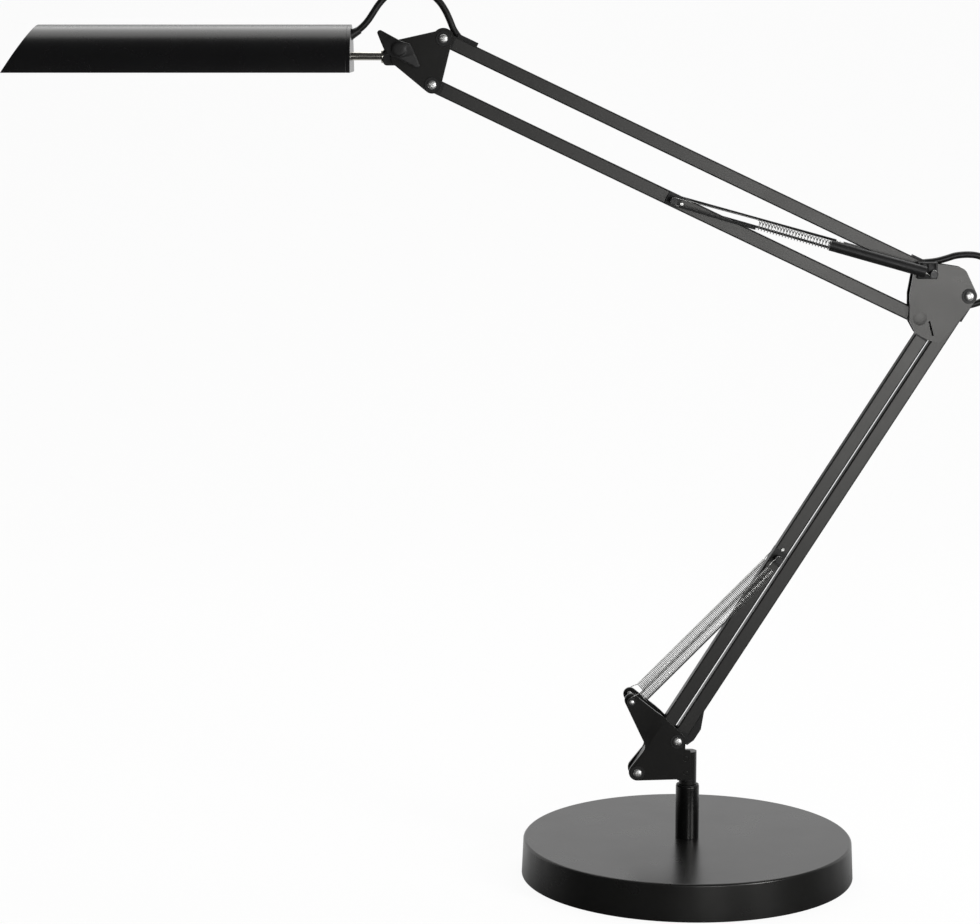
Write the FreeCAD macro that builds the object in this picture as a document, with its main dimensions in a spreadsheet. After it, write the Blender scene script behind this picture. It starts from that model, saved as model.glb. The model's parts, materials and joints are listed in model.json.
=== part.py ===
import FreeCAD, Part
import Sketcher
import math
import os

# Spring-balanced desk lamp: a weighted disc base, two parallelogram arms of square
# tube and a half-round LED head. Millimetres, Z up, the arms lie in the XZ plane,
# the origin is at the middle of the base's underside.

Vector = FreeCAD.Vector
Rotation = FreeCAD.Rotation
Placement = FreeCAD.Placement

doc = FreeCAD.newDocument("balanced_desk_lamp")
dims = doc.addObject("Spreadsheet::Sheet", "dims")

DRIVING = {
    # base and socket
    "base_radius": 101.4,
    "rim_radius": 100.4,
    "base_top": 22.8,
    "base_lift": 0.2,
    "base_wall": 1.6,
    "rim_chamfer": 1.0,
    "pad_radius": 97.0,
    "pad_thickness": 2.6,
    "weight_radius": 96.0,
    "weight_thickness": 16.5,
    "weight_bore": 13.0,
    "socket_radius": 7.15,
    "socket_bore": 4.3,
    "socket_shank": 4.8,
    "socket_foot": 14.0,
    "socket_top": 55.6,
    "socket_nut_width": 8.0,
    "socket_nut_height": 5.0,
    "bush_flange": 0.6,
    "bush_length": 30.0,
    "spigot_radius": 3.45,
    "post_radius": 5.4,
    # links and plates
    "rod_width": 8.3,
    "rod_wall": 0.9,
    "rod_corner": 0.9,
    "arm_length": 321.0,
    "tube_setback": 6.7,
    "eye_radius": 3.9,
    "eye_half_width": 4.4,
    "plate_gap": 9.4,
    "plate_thickness": 1.8,
    "joggle": 2.7,
    # fasteners
    "screw_radius": 2.0,
    "screw_head": 3.1,
    "screw_crown": 2.2,
    "screw_head_height": 2.0,
    "screw_length": 16.6,
    "nut_width": 3.8,
    "nut_height": 3.0,
    "rivet_radius": 1.5,
    "running_fit": 0.06,
    "open_fit": 0.3,
    # springs and their pins
    "wire": 0.8,
    "coil_radius": 2.5,
    "stud_radius": 1.6,
    "stud_head": 2.4,
    "spring_side": 13.0,
    "pin_half_length": 15.4,
    # flex
    "flex_width": 4.0,
    "flex_room": 0.3,
    "bush_width": 6.4,
    # head
    "stem_radius": 2.45,
    "shade_radius": 27.8,
    "shade_wall": 1.6,
    "cap_thickness": 2.2,
    "wing_height": 2.2,
    "hub_radius": 4.4,
    "hub_height": 5.0,
}
for row, (alias, value) in enumerate(DRIVING.items(), start=1):
    dims.set(f"A{row}", alias.replace("_", " "))
    dims.set(f"B{row}", str(value))
    dims.setAlias(f"B{row}", alias)
doc.recompute()


def size(alias):
    """The value of one driving dimension, read from the sheet."""
    return float(dims.get(alias))


# An arc of the flex takes this share of the shorter run beside it.
BEND_SHARE = 0.45

# Places of the pivots in the XZ plane.
LOWER_ANGLE = 57.85
UPPER_ANGLE = 154.55
PIVOT_LEFT_FOOT = (-31.0, 64.5)
PIVOT_RIGHT_FOOT = (-6.83, 84.16)
PIVOT_BOTTOM_ELBOW = (134.9, 342.7)
PIVOT_TOP_ELBOW = (141.6, 369.5)
SPRING_EAR = (-35.3, 110.6)
LOWER_PIN_ALONG = 157.5
UPPER_PIN_ALONG = 163.0
TILT_PIVOT = (-174.5, 501.4)
STEM_HEIGHT = 497.2
SHADE_FLOOR = 487.9
SHADE_INNER_END = -202.3
SHADE_TIP_TOP = -386.8
SHADE_TIP_SLOPE = 0.665


def heading(angle):
    """Unit vector in the XZ plane at an angle above +X, as an (x, z) pair."""
    return (math.cos(math.radians(angle)), math.sin(math.radians(angle)))


def along(point, angle, distance):
    """The (x, z) point a distance away from another, at an angle above +X."""
    step = heading(angle)
    return (point[0] + step[0] * distance, point[1] + step[1] * distance)


ARM = size("arm_length")
PIVOT_RIGHT_ELBOW = along(PIVOT_RIGHT_FOOT, LOWER_ANGLE, ARM)
PIVOT_LEFT_ELBOW = along(PIVOT_LEFT_FOOT, LOWER_ANGLE, ARM)
PIVOT_TOP_HEAD = along(PIVOT_TOP_ELBOW, UPPER_ANGLE, ARM)
PIVOT_BOTTOM_HEAD = along(PIVOT_BOTTOM_ELBOW, UPPER_ANGLE, ARM)
LOWER_PIN = along(PIVOT_LEFT_FOOT, LOWER_ANGLE, LOWER_PIN_ALONG)
UPPER_PIN = along(PIVOT_BOTTOM_ELBOW, UPPER_ANGLE, UPPER_PIN_ALONG)
PLATE_FACE = size("plate_gap") / 2
PLATE_OUTSIDE = PLATE_FACE + size("plate_thickness")

sub_parts = []


def keep(obj, label):
    """Gives a finished sub-part the label that names its file."""
    obj.Label = label
    sub_parts.append(obj)
    return obj


def world(point, y=0.0):
    """A point of the arm plane, moved to a depth y."""
    return Vector(point[0], y, point[1])


def link_frame(point, angle, y=0.0):
    """Local X runs along a link at an angle above +X, local Y stays the depth."""
    return Placement(world(point, y), Rotation(Vector(0, 1, 0), -angle))


def facing_back(point, y):
    """Local Z points along +Y, for pins that are laid from the front to the back."""
    return Placement(world(point, y), Rotation(Vector(1, 0, 0), -90))


# ---- outlines -------------------------------------------------------------------


def belt(circles):
    """Lines and arcs that run round circles (x, y, radius, turn), turn 1 left, -1 right."""
    count = len(circles)
    headings = []
    for i in range(count):
        x0, y0, r0, turn0 = circles[i]
        x1, y1, r1, turn1 = circles[(i + 1) % count]
        gap = math.hypot(x1 - x0, y1 - y0)
        lean = math.asin((r1 * turn1 - r0 * turn0) / gap)
        headings.append(math.atan2(y1 - y0, x1 - x0) - lean)
    edges = []
    ends = []
    for i in range(count):
        x, y, radius, turn = circles[i]
        arrive = headings[i - 1] - turn * math.pi / 2
        leave = headings[i] - turn * math.pi / 2
        start = (arrive, leave) if turn > 0 else (leave, arrive)
        sweep = (start[1] - start[0]) % (2 * math.pi)
        circle = Part.Circle(Vector(x, y, 0), Vector(0, 0, 1), radius)
        edges.append(Part.ArcOfCircle(circle, start[0], start[0] + sweep))
        ends.append(
            [Vector(x + radius * math.cos(a), y + radius * math.sin(a), 0) for a in (arrive, leave)]
        )
    for i in range(count):
        edges.append(Part.LineSegment(ends[i][1], ends[(i + 1) % count][0]))
    return edges


def polygon(points):
    """Straight edges round a list of (x, y) points."""
    corners = [Vector(x, y, 0) for x, y in points]
    return [Part.LineSegment(a, b) for a, b in zip(corners, corners[1:] + corners[:1])]


def origin_plane(body, role):
    """One of a body's own origin planes."""
    return next(f for f in body.Origin.OriginFeatures if f.Role == role)


def add_sketch(body, name, role, edges, holes=()):
    """A sketch on an origin plane; each hole is (x, y, radius expression)."""
    sketch = body.newObject("Sketcher::SketchObject", name)
    sketch.AttachmentSupport = [(origin_plane(body, role), "")]
    sketch.MapMode = "FlatFace"
    for edge in edges:
        sketch.addGeometry(edge)
    for number, (x, y, radius) in enumerate(holes):
        hole = sketch.addGeometry(Part.Circle(Vector(x, y, 0), Vector(0, 0, 1), 1.0))
        place = sketch.addConstraint(Sketcher.Constraint("Radius", hole, 1.0))
        sketch.renameConstraint(place, f"hole_{number}")
        sketch.setExpression(f"Constraints.hole_{number}", radius)
    return sketch


def pad_body(name, role, edges, length, holes=()):
    """A body with one padded sketch."""
    body = doc.addObject("PartDesign::Body", name)
    sketch = add_sketch(body, name + "_outline", role, edges, holes)
    pad = body.newObject("PartDesign::Pad", name + "_pad")
    pad.Profile = sketch
    pad.setExpression("Length", length)
    return body


def turned_body(name, edges):
    """A body turned about Z from a half profile in the XZ plane."""
    body = doc.addObject("PartDesign::Body", name)
    sketch = add_sketch(body, name + "_profile", "XZ_Plane", edges)
    turn = body.newObject("PartDesign::Revolution", name + "_turn")
    turn.Profile = sketch
    turn.ReferenceAxis = (sketch, ["V_Axis"])
    turn.Angle = 360
    return body


# ---- primitives and booleans ----------------------------------------------------


def cylinder(name, radius, height, place):
    """A cylinder whose radius and height are expressions on the sheet."""
    obj = doc.addObject("Part::Cylinder", name)
    obj.setExpression("Radius", radius)
    obj.setExpression("Height", height)
    obj.Placement = place
    return obj


def cone(name, radius_low, radius_high, height, place):
    obj = doc.addObject("Part::Cone", name)
    obj.setExpression("Radius1", radius_low)
    obj.setExpression("Radius2", radius_high)
    obj.setExpression("Height", height)
    obj.Placement = place
    return obj


def block(name, length, width, height, place):
    obj = doc.addObject("Part::Box", name)
    obj.setExpression("Length", length)
    obj.setExpression("Width", width)
    obj.setExpression("Height", height)
    obj.Placement = place
    return obj


def hexagon(name, radius, height, place):
    obj = doc.addObject("Part::Prism", name)
    obj.Polygon = 6
    obj.setExpression("Circumradius", radius)
    obj.setExpression("Height", height)
    obj.Placement = place
    return obj


def cut(name, base, *tools):
    """The base without its tools, as a chain of cuts."""
    result = base
    for number, tool in enumerate(tools, start=1):
        step = doc.addObject("Part::Cut", name if number == len(tools) else f"{name}_step_{number}")
        step.Base = result
        step.Tool = tool
        result = step
    return result


def joined(name, *pieces):
    obj = doc.addObject("Part::MultiFuse", name)
    obj.Shapes = list(pieces)
    return obj


def overlap(name, *pieces):
    obj = doc.addObject("Part::MultiCommon", name)
    obj.Shapes = list(pieces)
    return obj


def group(name, pieces):
    """Separate solids that share one node, such as a set of screws."""
    obj = doc.addObject("Part::Compound", name)
    obj.Links = list(pieces)
    return obj


def mirrored(name, source):
    """The same piece on the other side of the arm plane."""
    obj = doc.addObject("Part::Mirroring", name)
    obj.Source = source
    obj.Base = Vector(0, 0, 0)
    obj.Normal = Vector(0, 1, 0)
    return obj


def pivot_hole(name, point, extra="0"):
    """A cutter for a pivot's bore, right through from front to back."""
    return cylinder(name, f"dims.screw_radius + {extra}", "60", facing_back(point, -30))


# ---- springs and flex -----------------------------------------------------------


def arc_between(start, corner, end):
    """The arc that is tangent to start-corner and corner-end."""
    to_start = start - corner
    to_end = end - corner
    half = to_start.getAngle(to_end) / 2
    reach = to_start.Length
    middle = (start + end) * 0.5 - corner
    middle.normalize()
    rise = reach * (1 - math.sin(half)) / math.cos(half)
    return Part.Arc(start, corner + middle * rise, end).toShape()


def biarc(start, start_way, end, end_way):
    """Two arcs that leave and arrive in given directions."""
    span = end - start
    ways = start_way + end_way
    a = 2 * (1 - start_way.dot(end_way))
    b = 2 * span.dot(ways)
    c = -span.dot(span)
    reach = (-b + math.sqrt(b * b - 4 * a * c)) / (2 * a)
    first = start + start_way * reach
    last = end - end_way * reach
    joint = (first + last) * 0.5
    return [arc_between(start, first, joint), arc_between(joint, last, end)]


def tube_along(edges, start, way, radius):
    """A round tube swept along edges that follow on from each other."""
    wire = Part.Wire(edges)
    ring = Part.Wire([Part.Circle(start, way, radius).toShape()])
    return wire.makePipeShell([ring], True, False)


def spring_solid(name, foot, head, lead_in, lead_out, turns):
    """An extension spring from foot to head: straight, coil, straight, as one wire."""
    axis = head - foot
    length = axis.Length
    axis.normalize()
    side = axis.cross(Vector(0, 1, 0))
    side.normalize()
    other = axis.cross(side)
    radius = size("coil_radius")
    wire = size("wire")
    blend_run = 3.2
    coil_start = lead_in + blend_run
    coil_end = length - lead_out - blend_run
    pitch = (coil_end - coil_start) / turns

    def point(turn):
        a = 2 * math.pi * turn
        rise = coil_start + pitch * turn
        return foot + axis * rise + side * (radius * math.cos(a)) + other * (radius * math.sin(a))

    def way(turn):
        a = 2 * math.pi * turn
        v = axis * (pitch / (2 * math.pi * radius)) - side * math.sin(a) + other * math.cos(a)
        v.normalize()
        return v

    lead_end = foot + axis * lead_in
    lead_back = head - axis * lead_out
    edges = [Part.LineSegment(foot, lead_end).toShape()]
    edges += biarc(lead_end, axis, point(0), way(0))
    for half in range(2 * turns):
        edges += biarc(point(half / 2), way(half / 2), point((half + 1) / 2), way((half + 1) / 2))
    edges += biarc(point(turns), way(turns), lead_back, axis)
    edges.append(Part.LineSegment(lead_back, head).toShape())
    shape = tube_along(edges, foot, axis, wire / 2)
    samples = [point(i / 24) for i in range(24 * turns + 1)]
    gap = min(
        (samples[i] - samples[j]).Length
        for i in range(0, len(samples), 5)
        for j in range(i + 12, min(i + 37, len(samples)))
    )
    print(f"{name}: {turns} turns, pitch {pitch:.2f}, least gap between turns {gap - wire:.2f} mm")
    return shape


def flex_path(route):
    """A route's straight runs joined by tangent arcs, and the arcs' radii."""
    points = [Vector(*p) for p in route]
    runs = [(b - a).Length for a, b in zip(points, points[1:])]
    edges = []
    radii = []
    start = points[0]
    for i in range(1, len(points) - 1):
        back = points[i - 1] - points[i]
        ahead = points[i + 1] - points[i]
        turn = math.pi - back.getAngle(ahead)
        reach = BEND_SHARE * min(runs[i - 1], runs[i])
        radii.append(reach / math.tan(turn / 2))
        arrive = points[i] + back.normalize() * reach
        leave = points[i] + ahead.normalize() * reach
        edges.append(Part.LineSegment(start, arrive).toShape())
        edges.append(arc_between(arrive, points[i], leave))
        start = leave
    edges.append(Part.LineSegment(start, points[-1]).toShape())
    return edges, radii


def flex_solid(name, route):
    """A free stretch of flex, with its length, bends and volume printed."""
    radius = size("flex_width") / 2
    edges, radii = flex_path(route)
    length = sum(e.Length for e in edges)
    start = Vector(*route[0])
    shape = tube_along(edges, start, Vector(*route[1]) - start, radius)
    share = shape.Volume / (math.pi * radius * radius * length)
    bends = [round(r, 1) for r in radii]
    print(f"{name}: length {length:.1f} mm, bend radii {bends}, volume ratio {share:.4f}")
    return shape


def flex_channel(name, route, overrun=0.8):
    """A cutter that leaves room round a stretch of flex and past both its ends."""
    edges, _ = flex_path(route)
    first, second = Vector(*route[0]), Vector(*route[1])
    before, last = Vector(*route[-2]), Vector(*route[-1])
    way_in = (second - first).normalize()
    way_out = (last - before).normalize()
    start = first - way_in * overrun
    end = last + way_out * overrun
    edges = [Part.LineSegment(start, first).toShape(), *edges, Part.LineSegment(last, end).toShape()]
    channel = doc.addObject("Part::Feature", name)
    channel.Shape = tube_along(edges, start, way_in, size("flex_width") / 2 + size("flex_room"))
    return channel


def feature(label, shape):
    """A sub-part whose shape neither a body nor a primitive can make."""
    obj = doc.addObject("Part::Feature", label)
    obj.Shape = shape
    obj.Placement = Placement()
    return keep(obj, label)


# ---- base -----------------------------------------------------------------------


def make_base():
    foot_radius, rim_radius, top = size("base_radius"), size("rim_radius"), size("base_top")
    lift, wall, chamfer = size("base_lift"), size("base_wall"), size("rim_chamfer")
    bore = size("socket_shank") + 0.1
    cover = turned_body(
        "base_cover",
        polygon(
            [
                (foot_radius - wall, lift),
                (foot_radius, lift),
                (rim_radius, top - chamfer),
                (rim_radius - chamfer, top),
                (bore, top),
                (bore, top - wall),
                (rim_radius - wall, top - wall),
            ]
        ),
    )
    keep(cover, "base_cover")
    pad = cylinder("base_pad", "dims.pad_radius", "dims.pad_thickness", Placement())
    keep(pad, "base_pad")
    weight_floor = Placement(Vector(0, 0, size("pad_thickness")), Rotation())
    disc = cylinder("weight_disc", "dims.weight_radius", "dims.weight_thickness", weight_floor)
    hole = cylinder("weight_hole", "dims.weight_bore", "dims.weight_thickness", weight_floor)
    keep(cut("base_weight", disc, hole), "base_weight")

    socket_top, foot = size("socket_top"), size("socket_foot")
    outer, inner, shank = size("socket_radius"), size("socket_bore"), size("socket_shank")
    socket = turned_body(
        "socket_tube",
        polygon(
            [
                (inner, foot),
                (shank, foot),
                (shank, top),
                (outer, top),
                (outer, socket_top - 0.4),
                (outer - 0.4, socket_top),
                (inner, socket_top),
            ]
        ),
    )
    keep(socket, "socket_tube")
    nut_floor = Vector(0, 0, top - wall - size("socket_nut_height"))
    nut_place = Placement(nut_floor, Rotation())
    nut = hexagon("nut_body", "dims.socket_nut_width", "dims.socket_nut_height", nut_place)
    thread = cylinder("nut_thread", "dims.socket_shank + 0.05", "20", nut_place)
    keep(cut("socket_nut", nut, thread), "socket_nut")

    flange = size("bush_flange")
    spigot_bore = size("spigot_radius") + size("running_fit")
    foot_of_bush = socket_top - size("bush_length")
    bush = turned_body(
        "swivel_bush",
        polygon(
            [
                (spigot_bore, foot_of_bush),
                (inner - 0.02, foot_of_bush),
                (inner - 0.02, socket_top),
                (outer - 0.3, socket_top),
                (outer - 0.3, socket_top + flange),
                (spigot_bore, socket_top + flange),
            ]
        ),
    )
    keep(bush, "swivel_bush")


# ---- pivots, screws and nuts ----------------------------------------------------


def screw(name, point, head_at):
    """A pan-head screw laid from front to back; head_at is the depth under its head."""
    shank = cylinder(name + "_shank", "dims.screw_radius", "dims.screw_length", facing_back(point, head_at))
    head_place = Placement(world(point, head_at), Rotation(Vector(1, 0, 0), 90))
    head = cone(name + "_head", "dims.screw_head", "dims.screw_crown", "dims.screw_head_height", head_place)
    return joined(name, shank, head)


def nut(name, point, depth):
    """A hexagon nut whose front face is at a depth."""
    place = facing_back(point, depth)
    body = hexagon(name + "_body", "dims.nut_width", "dims.nut_height", place)
    thread = cylinder(name + "_thread", "dims.screw_radius + 0.03", "dims.nut_height", place)
    return cut(name, body, thread)


def rivet(name, point, head="0", radius="dims.screw_radius"):
    """A rivet flush with the plates, with a low round head in front if one is given."""
    length = "dims.plate_gap + 2 * dims.plate_thickness"
    shank = cylinder(name + "_shank", radius, length, facing_back(point, -PLATE_OUTSIDE))
    if head == "0":
        return shank
    place = Placement(world(point, -PLATE_OUTSIDE), Rotation(Vector(1, 0, 0), 90))
    cap = cone(name + "_cap", head, f"{head} * 0.7", "0.9", place)
    return joined(name, shank, cap)


def plate_pair(label, circles, bores, slot=None):
    """A pair of flat side plates with pivot bores, front and rear."""
    edges = belt(circles)
    front = pad_body(
        label + "_sheet",
        "XZ_Plane",
        edges,
        "dims.plate_thickness",
        [(x, z, "dims.screw_radius + 0.03") for x, z in bores],
    )
    front.Placement.Base.y = -PLATE_FACE
    rear = mirrored(label + "_rear", front)
    if slot:
        front = cut(label + "_slotted", front, slot)
    keep(front, label + "_front")
    keep(rear, label + "_rear")


# ---- lower bracket --------------------------------------------------------------


def make_lower_bracket():
    # A round post on the swivel spigot, flattened where the plates lie on it.
    core_left, flat_floor, core_top = -6.6, 59.5, 77.0
    core_floor = size("socket_top") + size("bush_flange") + 0.3
    core_height = core_top - flat_floor
    core_corner = Placement(Vector(core_left, -PLATE_FACE + 0.05, flat_floor), Rotation())
    core_block = block("core_block", f"{-core_left}", "dims.plate_gap - 0.1", f"{core_height}", core_corner)
    flat_corner = Placement(Vector(-10.0, -PLATE_FACE + 0.05, flat_floor - 5.0), Rotation())
    flats = block("post_flats", "20", "dims.plate_gap - 0.1", f"{core_height + 5}", flat_corner)
    flat_foot = Placement(Vector(0, 0, flat_floor - 1.0), Rotation())
    round_post = cylinder("post_upper", "dims.post_radius", f"{core_height + 1}", flat_foot)
    post_floor = Placement(Vector(0, 0, core_floor), Rotation())
    post_foot = cylinder("post_foot", "dims.post_radius", f"{flat_floor - core_floor}", post_floor)
    post = overlap("post_flattened", round_post, flats)
    spigot_length = 26.0
    spigot = cylinder("core_spigot", "dims.spigot_radius", f"{spigot_length + 2}",
                      Placement(Vector(0, 0, core_floor - spigot_length), Rotation()))
    rivet_places = [(-1.6, 64.6), (-1.6, 73.6)]
    rivet_bores = [
        cylinder(f"core_bore_{i}", "dims.rivet_radius + 0.02", "40", facing_back(p, -20))
        for i, p in enumerate(rivet_places)
    ]
    core_whole = joined("core_whole", core_block, post, post_foot, spigot)
    keep(cut("bracket_core", core_whole, *rivet_bores), "bracket_core")

    foot_x, foot_z = PIVOT_LEFT_FOOT
    right_x, right_z = PIVOT_RIGHT_FOOT
    ear_x, ear_z = SPRING_EAR
    outline = belt(
        [
            (foot_x, foot_z + 0.6, 5.3, 1),
            (0.5, 61.5, 0.8, 1),
            (0.5, 78.1, 0.8, 1),
            (-1.2, 79.7, 0.8, -1),
            (right_x, right_z + 0.4, 5.0, 1),
            (-21.5, 94.5, 8.0, 1),
            (ear_x, ear_z, 4.0, 1),
            (-32.6, 81.4, 6.0, -1),
        ]
    )
    prism_depth = 8.0
    prism = pad_body(
        "bracket_prism",
        "XZ_Plane",
        outline,
        f"{prism_depth}",
        [
            (foot_x, foot_z, "dims.screw_radius + 0.03"),
            (right_x, right_z, "dims.screw_radius + 0.03"),
            (ear_x, ear_z, "dims.stud_radius + 0.03"),
        ]
        + [(x, z, "dims.rivet_radius + 0.02") for x, z in rivet_places],
    )
    prism.Placement.Base.y = -PLATE_FACE + 0.5
    # The ears stand further out than the feet: the sheet is joggled along the arm's line.
    face, out = PLATE_FACE, PLATE_OUTSIDE
    joggle = size("joggle")
    low, bend_start, bend_end, high = 0.0, 64.0, 71.5, 110.0
    sheet_profile = polygon(
        [
            (low, -face),
            (low, -out),
            (bend_start, -out),
            (bend_end, -out - joggle),
            (high, -out - joggle),
            (high, -face - joggle),
            (bend_end, -face - joggle),
            (bend_start, -face),
        ]
    )
    sheet_length = 140.0
    sheet = pad_body("bracket_sheet", "XY_Plane", sheet_profile, f"{sheet_length}")
    across = heading(LOWER_ANGLE + 90)
    up = heading(LOWER_ANGLE)
    matrix = FreeCAD.Matrix(across[0], 0, -up[0], 0, 0, 1, 0, 0, across[1], 0, -up[1], 0, 0, 0, 0, 1)
    turned = Placement(matrix)
    turned.Base = world(along((0, 0), LOWER_ANGLE, 120.0))
    sheet.Placement = turned
    front = overlap("lower_plate_front", prism, sheet)
    tab_corner = Placement(Vector(-1.7, PLATE_FACE - 0.5, 75.2), Rotation())
    tab = block("rear_tab", "6", "dims.plate_thickness + 1", "8", tab_corner)
    rear = cut("lower_plate_rear", mirrored("lower_plate_back", front), tab)
    keep(front, "lower_plate_front")
    keep(rear, "lower_plate_rear")

    feet = {"foot": PIVOT_LEFT_FOOT, "knee": PIVOT_RIGHT_FOOT}
    screws = [screw(f"lower_screw_{n}", p, -PLATE_OUTSIDE - 0.02) for n, p in feet.items()]
    keep(group("lower_pivot_screws", screws), "lower_pivot_screws")
    nuts = [nut(f"lower_nut_{n}", p, PLATE_OUTSIDE + 0.02) for n, p in feet.items()]
    keep(group("lower_pivot_nuts", nuts), "lower_pivot_nuts")
    bodies = [rivet(f"core_rivet_{i}", p, radius="dims.rivet_radius") for i, p in enumerate(rivet_places)]
    keep(group("bracket_rivets", bodies), "bracket_rivets")

    studs = []
    for side, sign in (("front", -1), ("rear", 1)):
        start = sign * (PLATE_FACE + joggle)
        spin = Rotation(Vector(1, 0, 0), -90 * sign)
        stud_length = size("spring_side") + 1.7 - abs(start)
        foot = Placement(world(SPRING_EAR, start), spin)
        shank = cylinder(f"stud_{side}", "dims.stud_radius", f"{stud_length}", foot)
        head = cylinder(f"stud_head_{side}", "dims.stud_head", "0.9",
                        Placement(world(SPRING_EAR, start + sign * stud_length), spin))
        studs.append(joined(f"spring_stud_{side}", shank, head))
    keep(group("lower_spring_studs", studs), "lower_spring_studs")


# ---- links ----------------------------------------------------------------------


def square_edges(width, radius):
    """A square with rounded corners about the origin."""
    side = width / 2 - radius
    corners = [(side, -side), (side, side), (-side, side), (-side, -side)]
    return belt([(x, y, radius, 1) for x, y in corners])


def rod_tube(label, start, angle, cutters=()):
    """A square tube between its two pivots; cutters are in world places."""
    setback = size("tube_setback")
    outer = square_edges(size("rod_width"), size("rod_corner"))
    inner = square_edges(size("rod_width") - 2 * size("rod_wall"), 0.3)
    length = "dims.arm_length - 2 * dims.tube_setback"
    body = pad_body(label + "_tube", "YZ_Plane", outer + inner, length)
    body.Placement = link_frame(along(start, angle, setback), angle)
    keep(cut(label + "_cut", body, *cutters) if cutters else body, label)


def rod_ends(label, start, angle, bores, cutters=()):
    """Moulded eyes for both ends of a tube, each with a plug that goes into it."""
    setback = size("tube_setback")
    half = size("rod_width") / 2
    plug = size("rod_width") / 2 - size("rod_wall") - 0.12
    eyes = []
    ends = ((start, angle, bores[0]), (along(start, angle, ARM), angle + 180, bores[1]))
    for number, (pivot, way, fit) in enumerate(ends):
        place = link_frame(pivot, way)
        turn_front = Placement(Vector(0, 0, 0), Rotation(Vector(1, 0, 0), -90))
        to_front = Placement(Vector(0, -size("eye_half_width"), 0), Rotation())
        eye_place = place.multiply(to_front).multiply(turn_front)
        eye = cylinder(f"{label}_eye_{number}", "dims.eye_radius", "2 * dims.eye_half_width", eye_place)
        neck = block(f"{label}_neck_{number}", f"{setback}", f"{2 * half}", f"{2 * half}",
                     place.multiply(Placement(Vector(0, -half, -half), Rotation())))
        plug_length = 4.0
        stub = block(f"{label}_stub_{number}", f"{setback + plug_length}", f"{2 * plug}", f"{2 * plug}",
                     place.multiply(Placement(Vector(0, -plug, -plug), Rotation())))
        whole = joined(f"{label}_whole_{number}", eye, neck, stub)
        bore = pivot_hole(f"{label}_bore_{number}", pivot, fit)
        eyes.append(cut(f"{label}_end_{number}", whole, bore, *cutters))
    keep(group(label, eyes), label)


def spring_pin(label, point):
    """A cross pin that carries the two spring hooks beside a rod."""
    reach = size("pin_half_length")
    front_end = facing_back(point, -reach)
    pin = cylinder(label + "_shank", "dims.stud_radius", "2 * dims.pin_half_length", front_end)
    head_front = cylinder(label + "_head_front", "dims.stud_head", "0.9", front_end)
    head_rear = cylinder(label + "_head_rear", "dims.stud_head", "0.9", facing_back(point, reach - 0.9))
    collar_length = 2.4
    half = size("rod_width") / 2
    collars = [
        cylinder(f"{label}_collar_{n}", "dims.stud_radius + 1.2", f"{collar_length}", facing_back(point, y))
        for n, y in (("front", -half - 0.05 - collar_length), ("rear", half + 0.05))
    ]
    return joined(label, pin, head_front, head_rear, *collars)


def flex_bush(name, point, angle, start, length, side, rise, cutter):
    """A moulded bush on the outer face of a rod, where the flex goes in."""
    half = size("rod_width") / 2
    low = half if side > 0 else -half - rise
    corner = Vector(start, -size("bush_width") / 2, low)
    place = link_frame(point, angle).multiply(Placement(corner, Rotation()))
    body = block(name + "_block", f"{length}", "dims.bush_width", f"{rise}", place)
    return cut(name, body, cutter)


# Routes of the flex's free stretches: the elbow loop and the head loop.
ELBOW_LOOP_UPPER = [
    (130.6, 0.0, 374.7),
    (137.1, 0.0, 375.6),
    (144.1, 0.0, 376.1),
    (150.9, 0.0, 377.9),
    (156.9, 0.0, 380.0),
    (161.9, 0.0, 380.2),
]
ELBOW_LOOP_LOWER = [
    (161.9, 0.0, 380.2),
    (166.9, 0.0, 380.4),
    (173.6, 0.0, 378.4),
    (178.6, 0.0, 373.5),
    (180.9, 0.0, 366.9),
    (179.9, 0.0, 359.9),
    (175.9, 0.0, 354.2),
    (169.8, 0.0, 350.8),
    (163.1, 0.0, 349.6),
]
HEAD_LOOP_SHADE = [
    (-203.9, 0.0, 508.9),
    (-198.2, 0.0, 512.2),
    (-193.3, 0.0, 516.9),
    (-189.5, 0.0, 522.6),
    (-185.8, 0.0, 528.3),
    (-182.2, 0.0, 531.8),
]
HEAD_LOOP_MIDDLE = [
    (-182.2, 0.0, 531.8),
    (-178.6, 0.0, 535.3),
    (-172.2, 0.0, 538.0),
    (-165.2, 0.0, 538.3),
    (-158.5, 0.0, 536.0),
    (-154.7, 0.0, 532.8),
]
HEAD_LOOP_ARM = [
    (-154.7, 0.0, 532.8),
    (-150.9, 0.0, 529.6),
    (-147.1, 0.0, 524.0),
    (-144.3, 0.0, 517.8),
    (-141.9, 0.0, 511.4),
    (-137.5, 0.0, 506.2),
]


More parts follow.
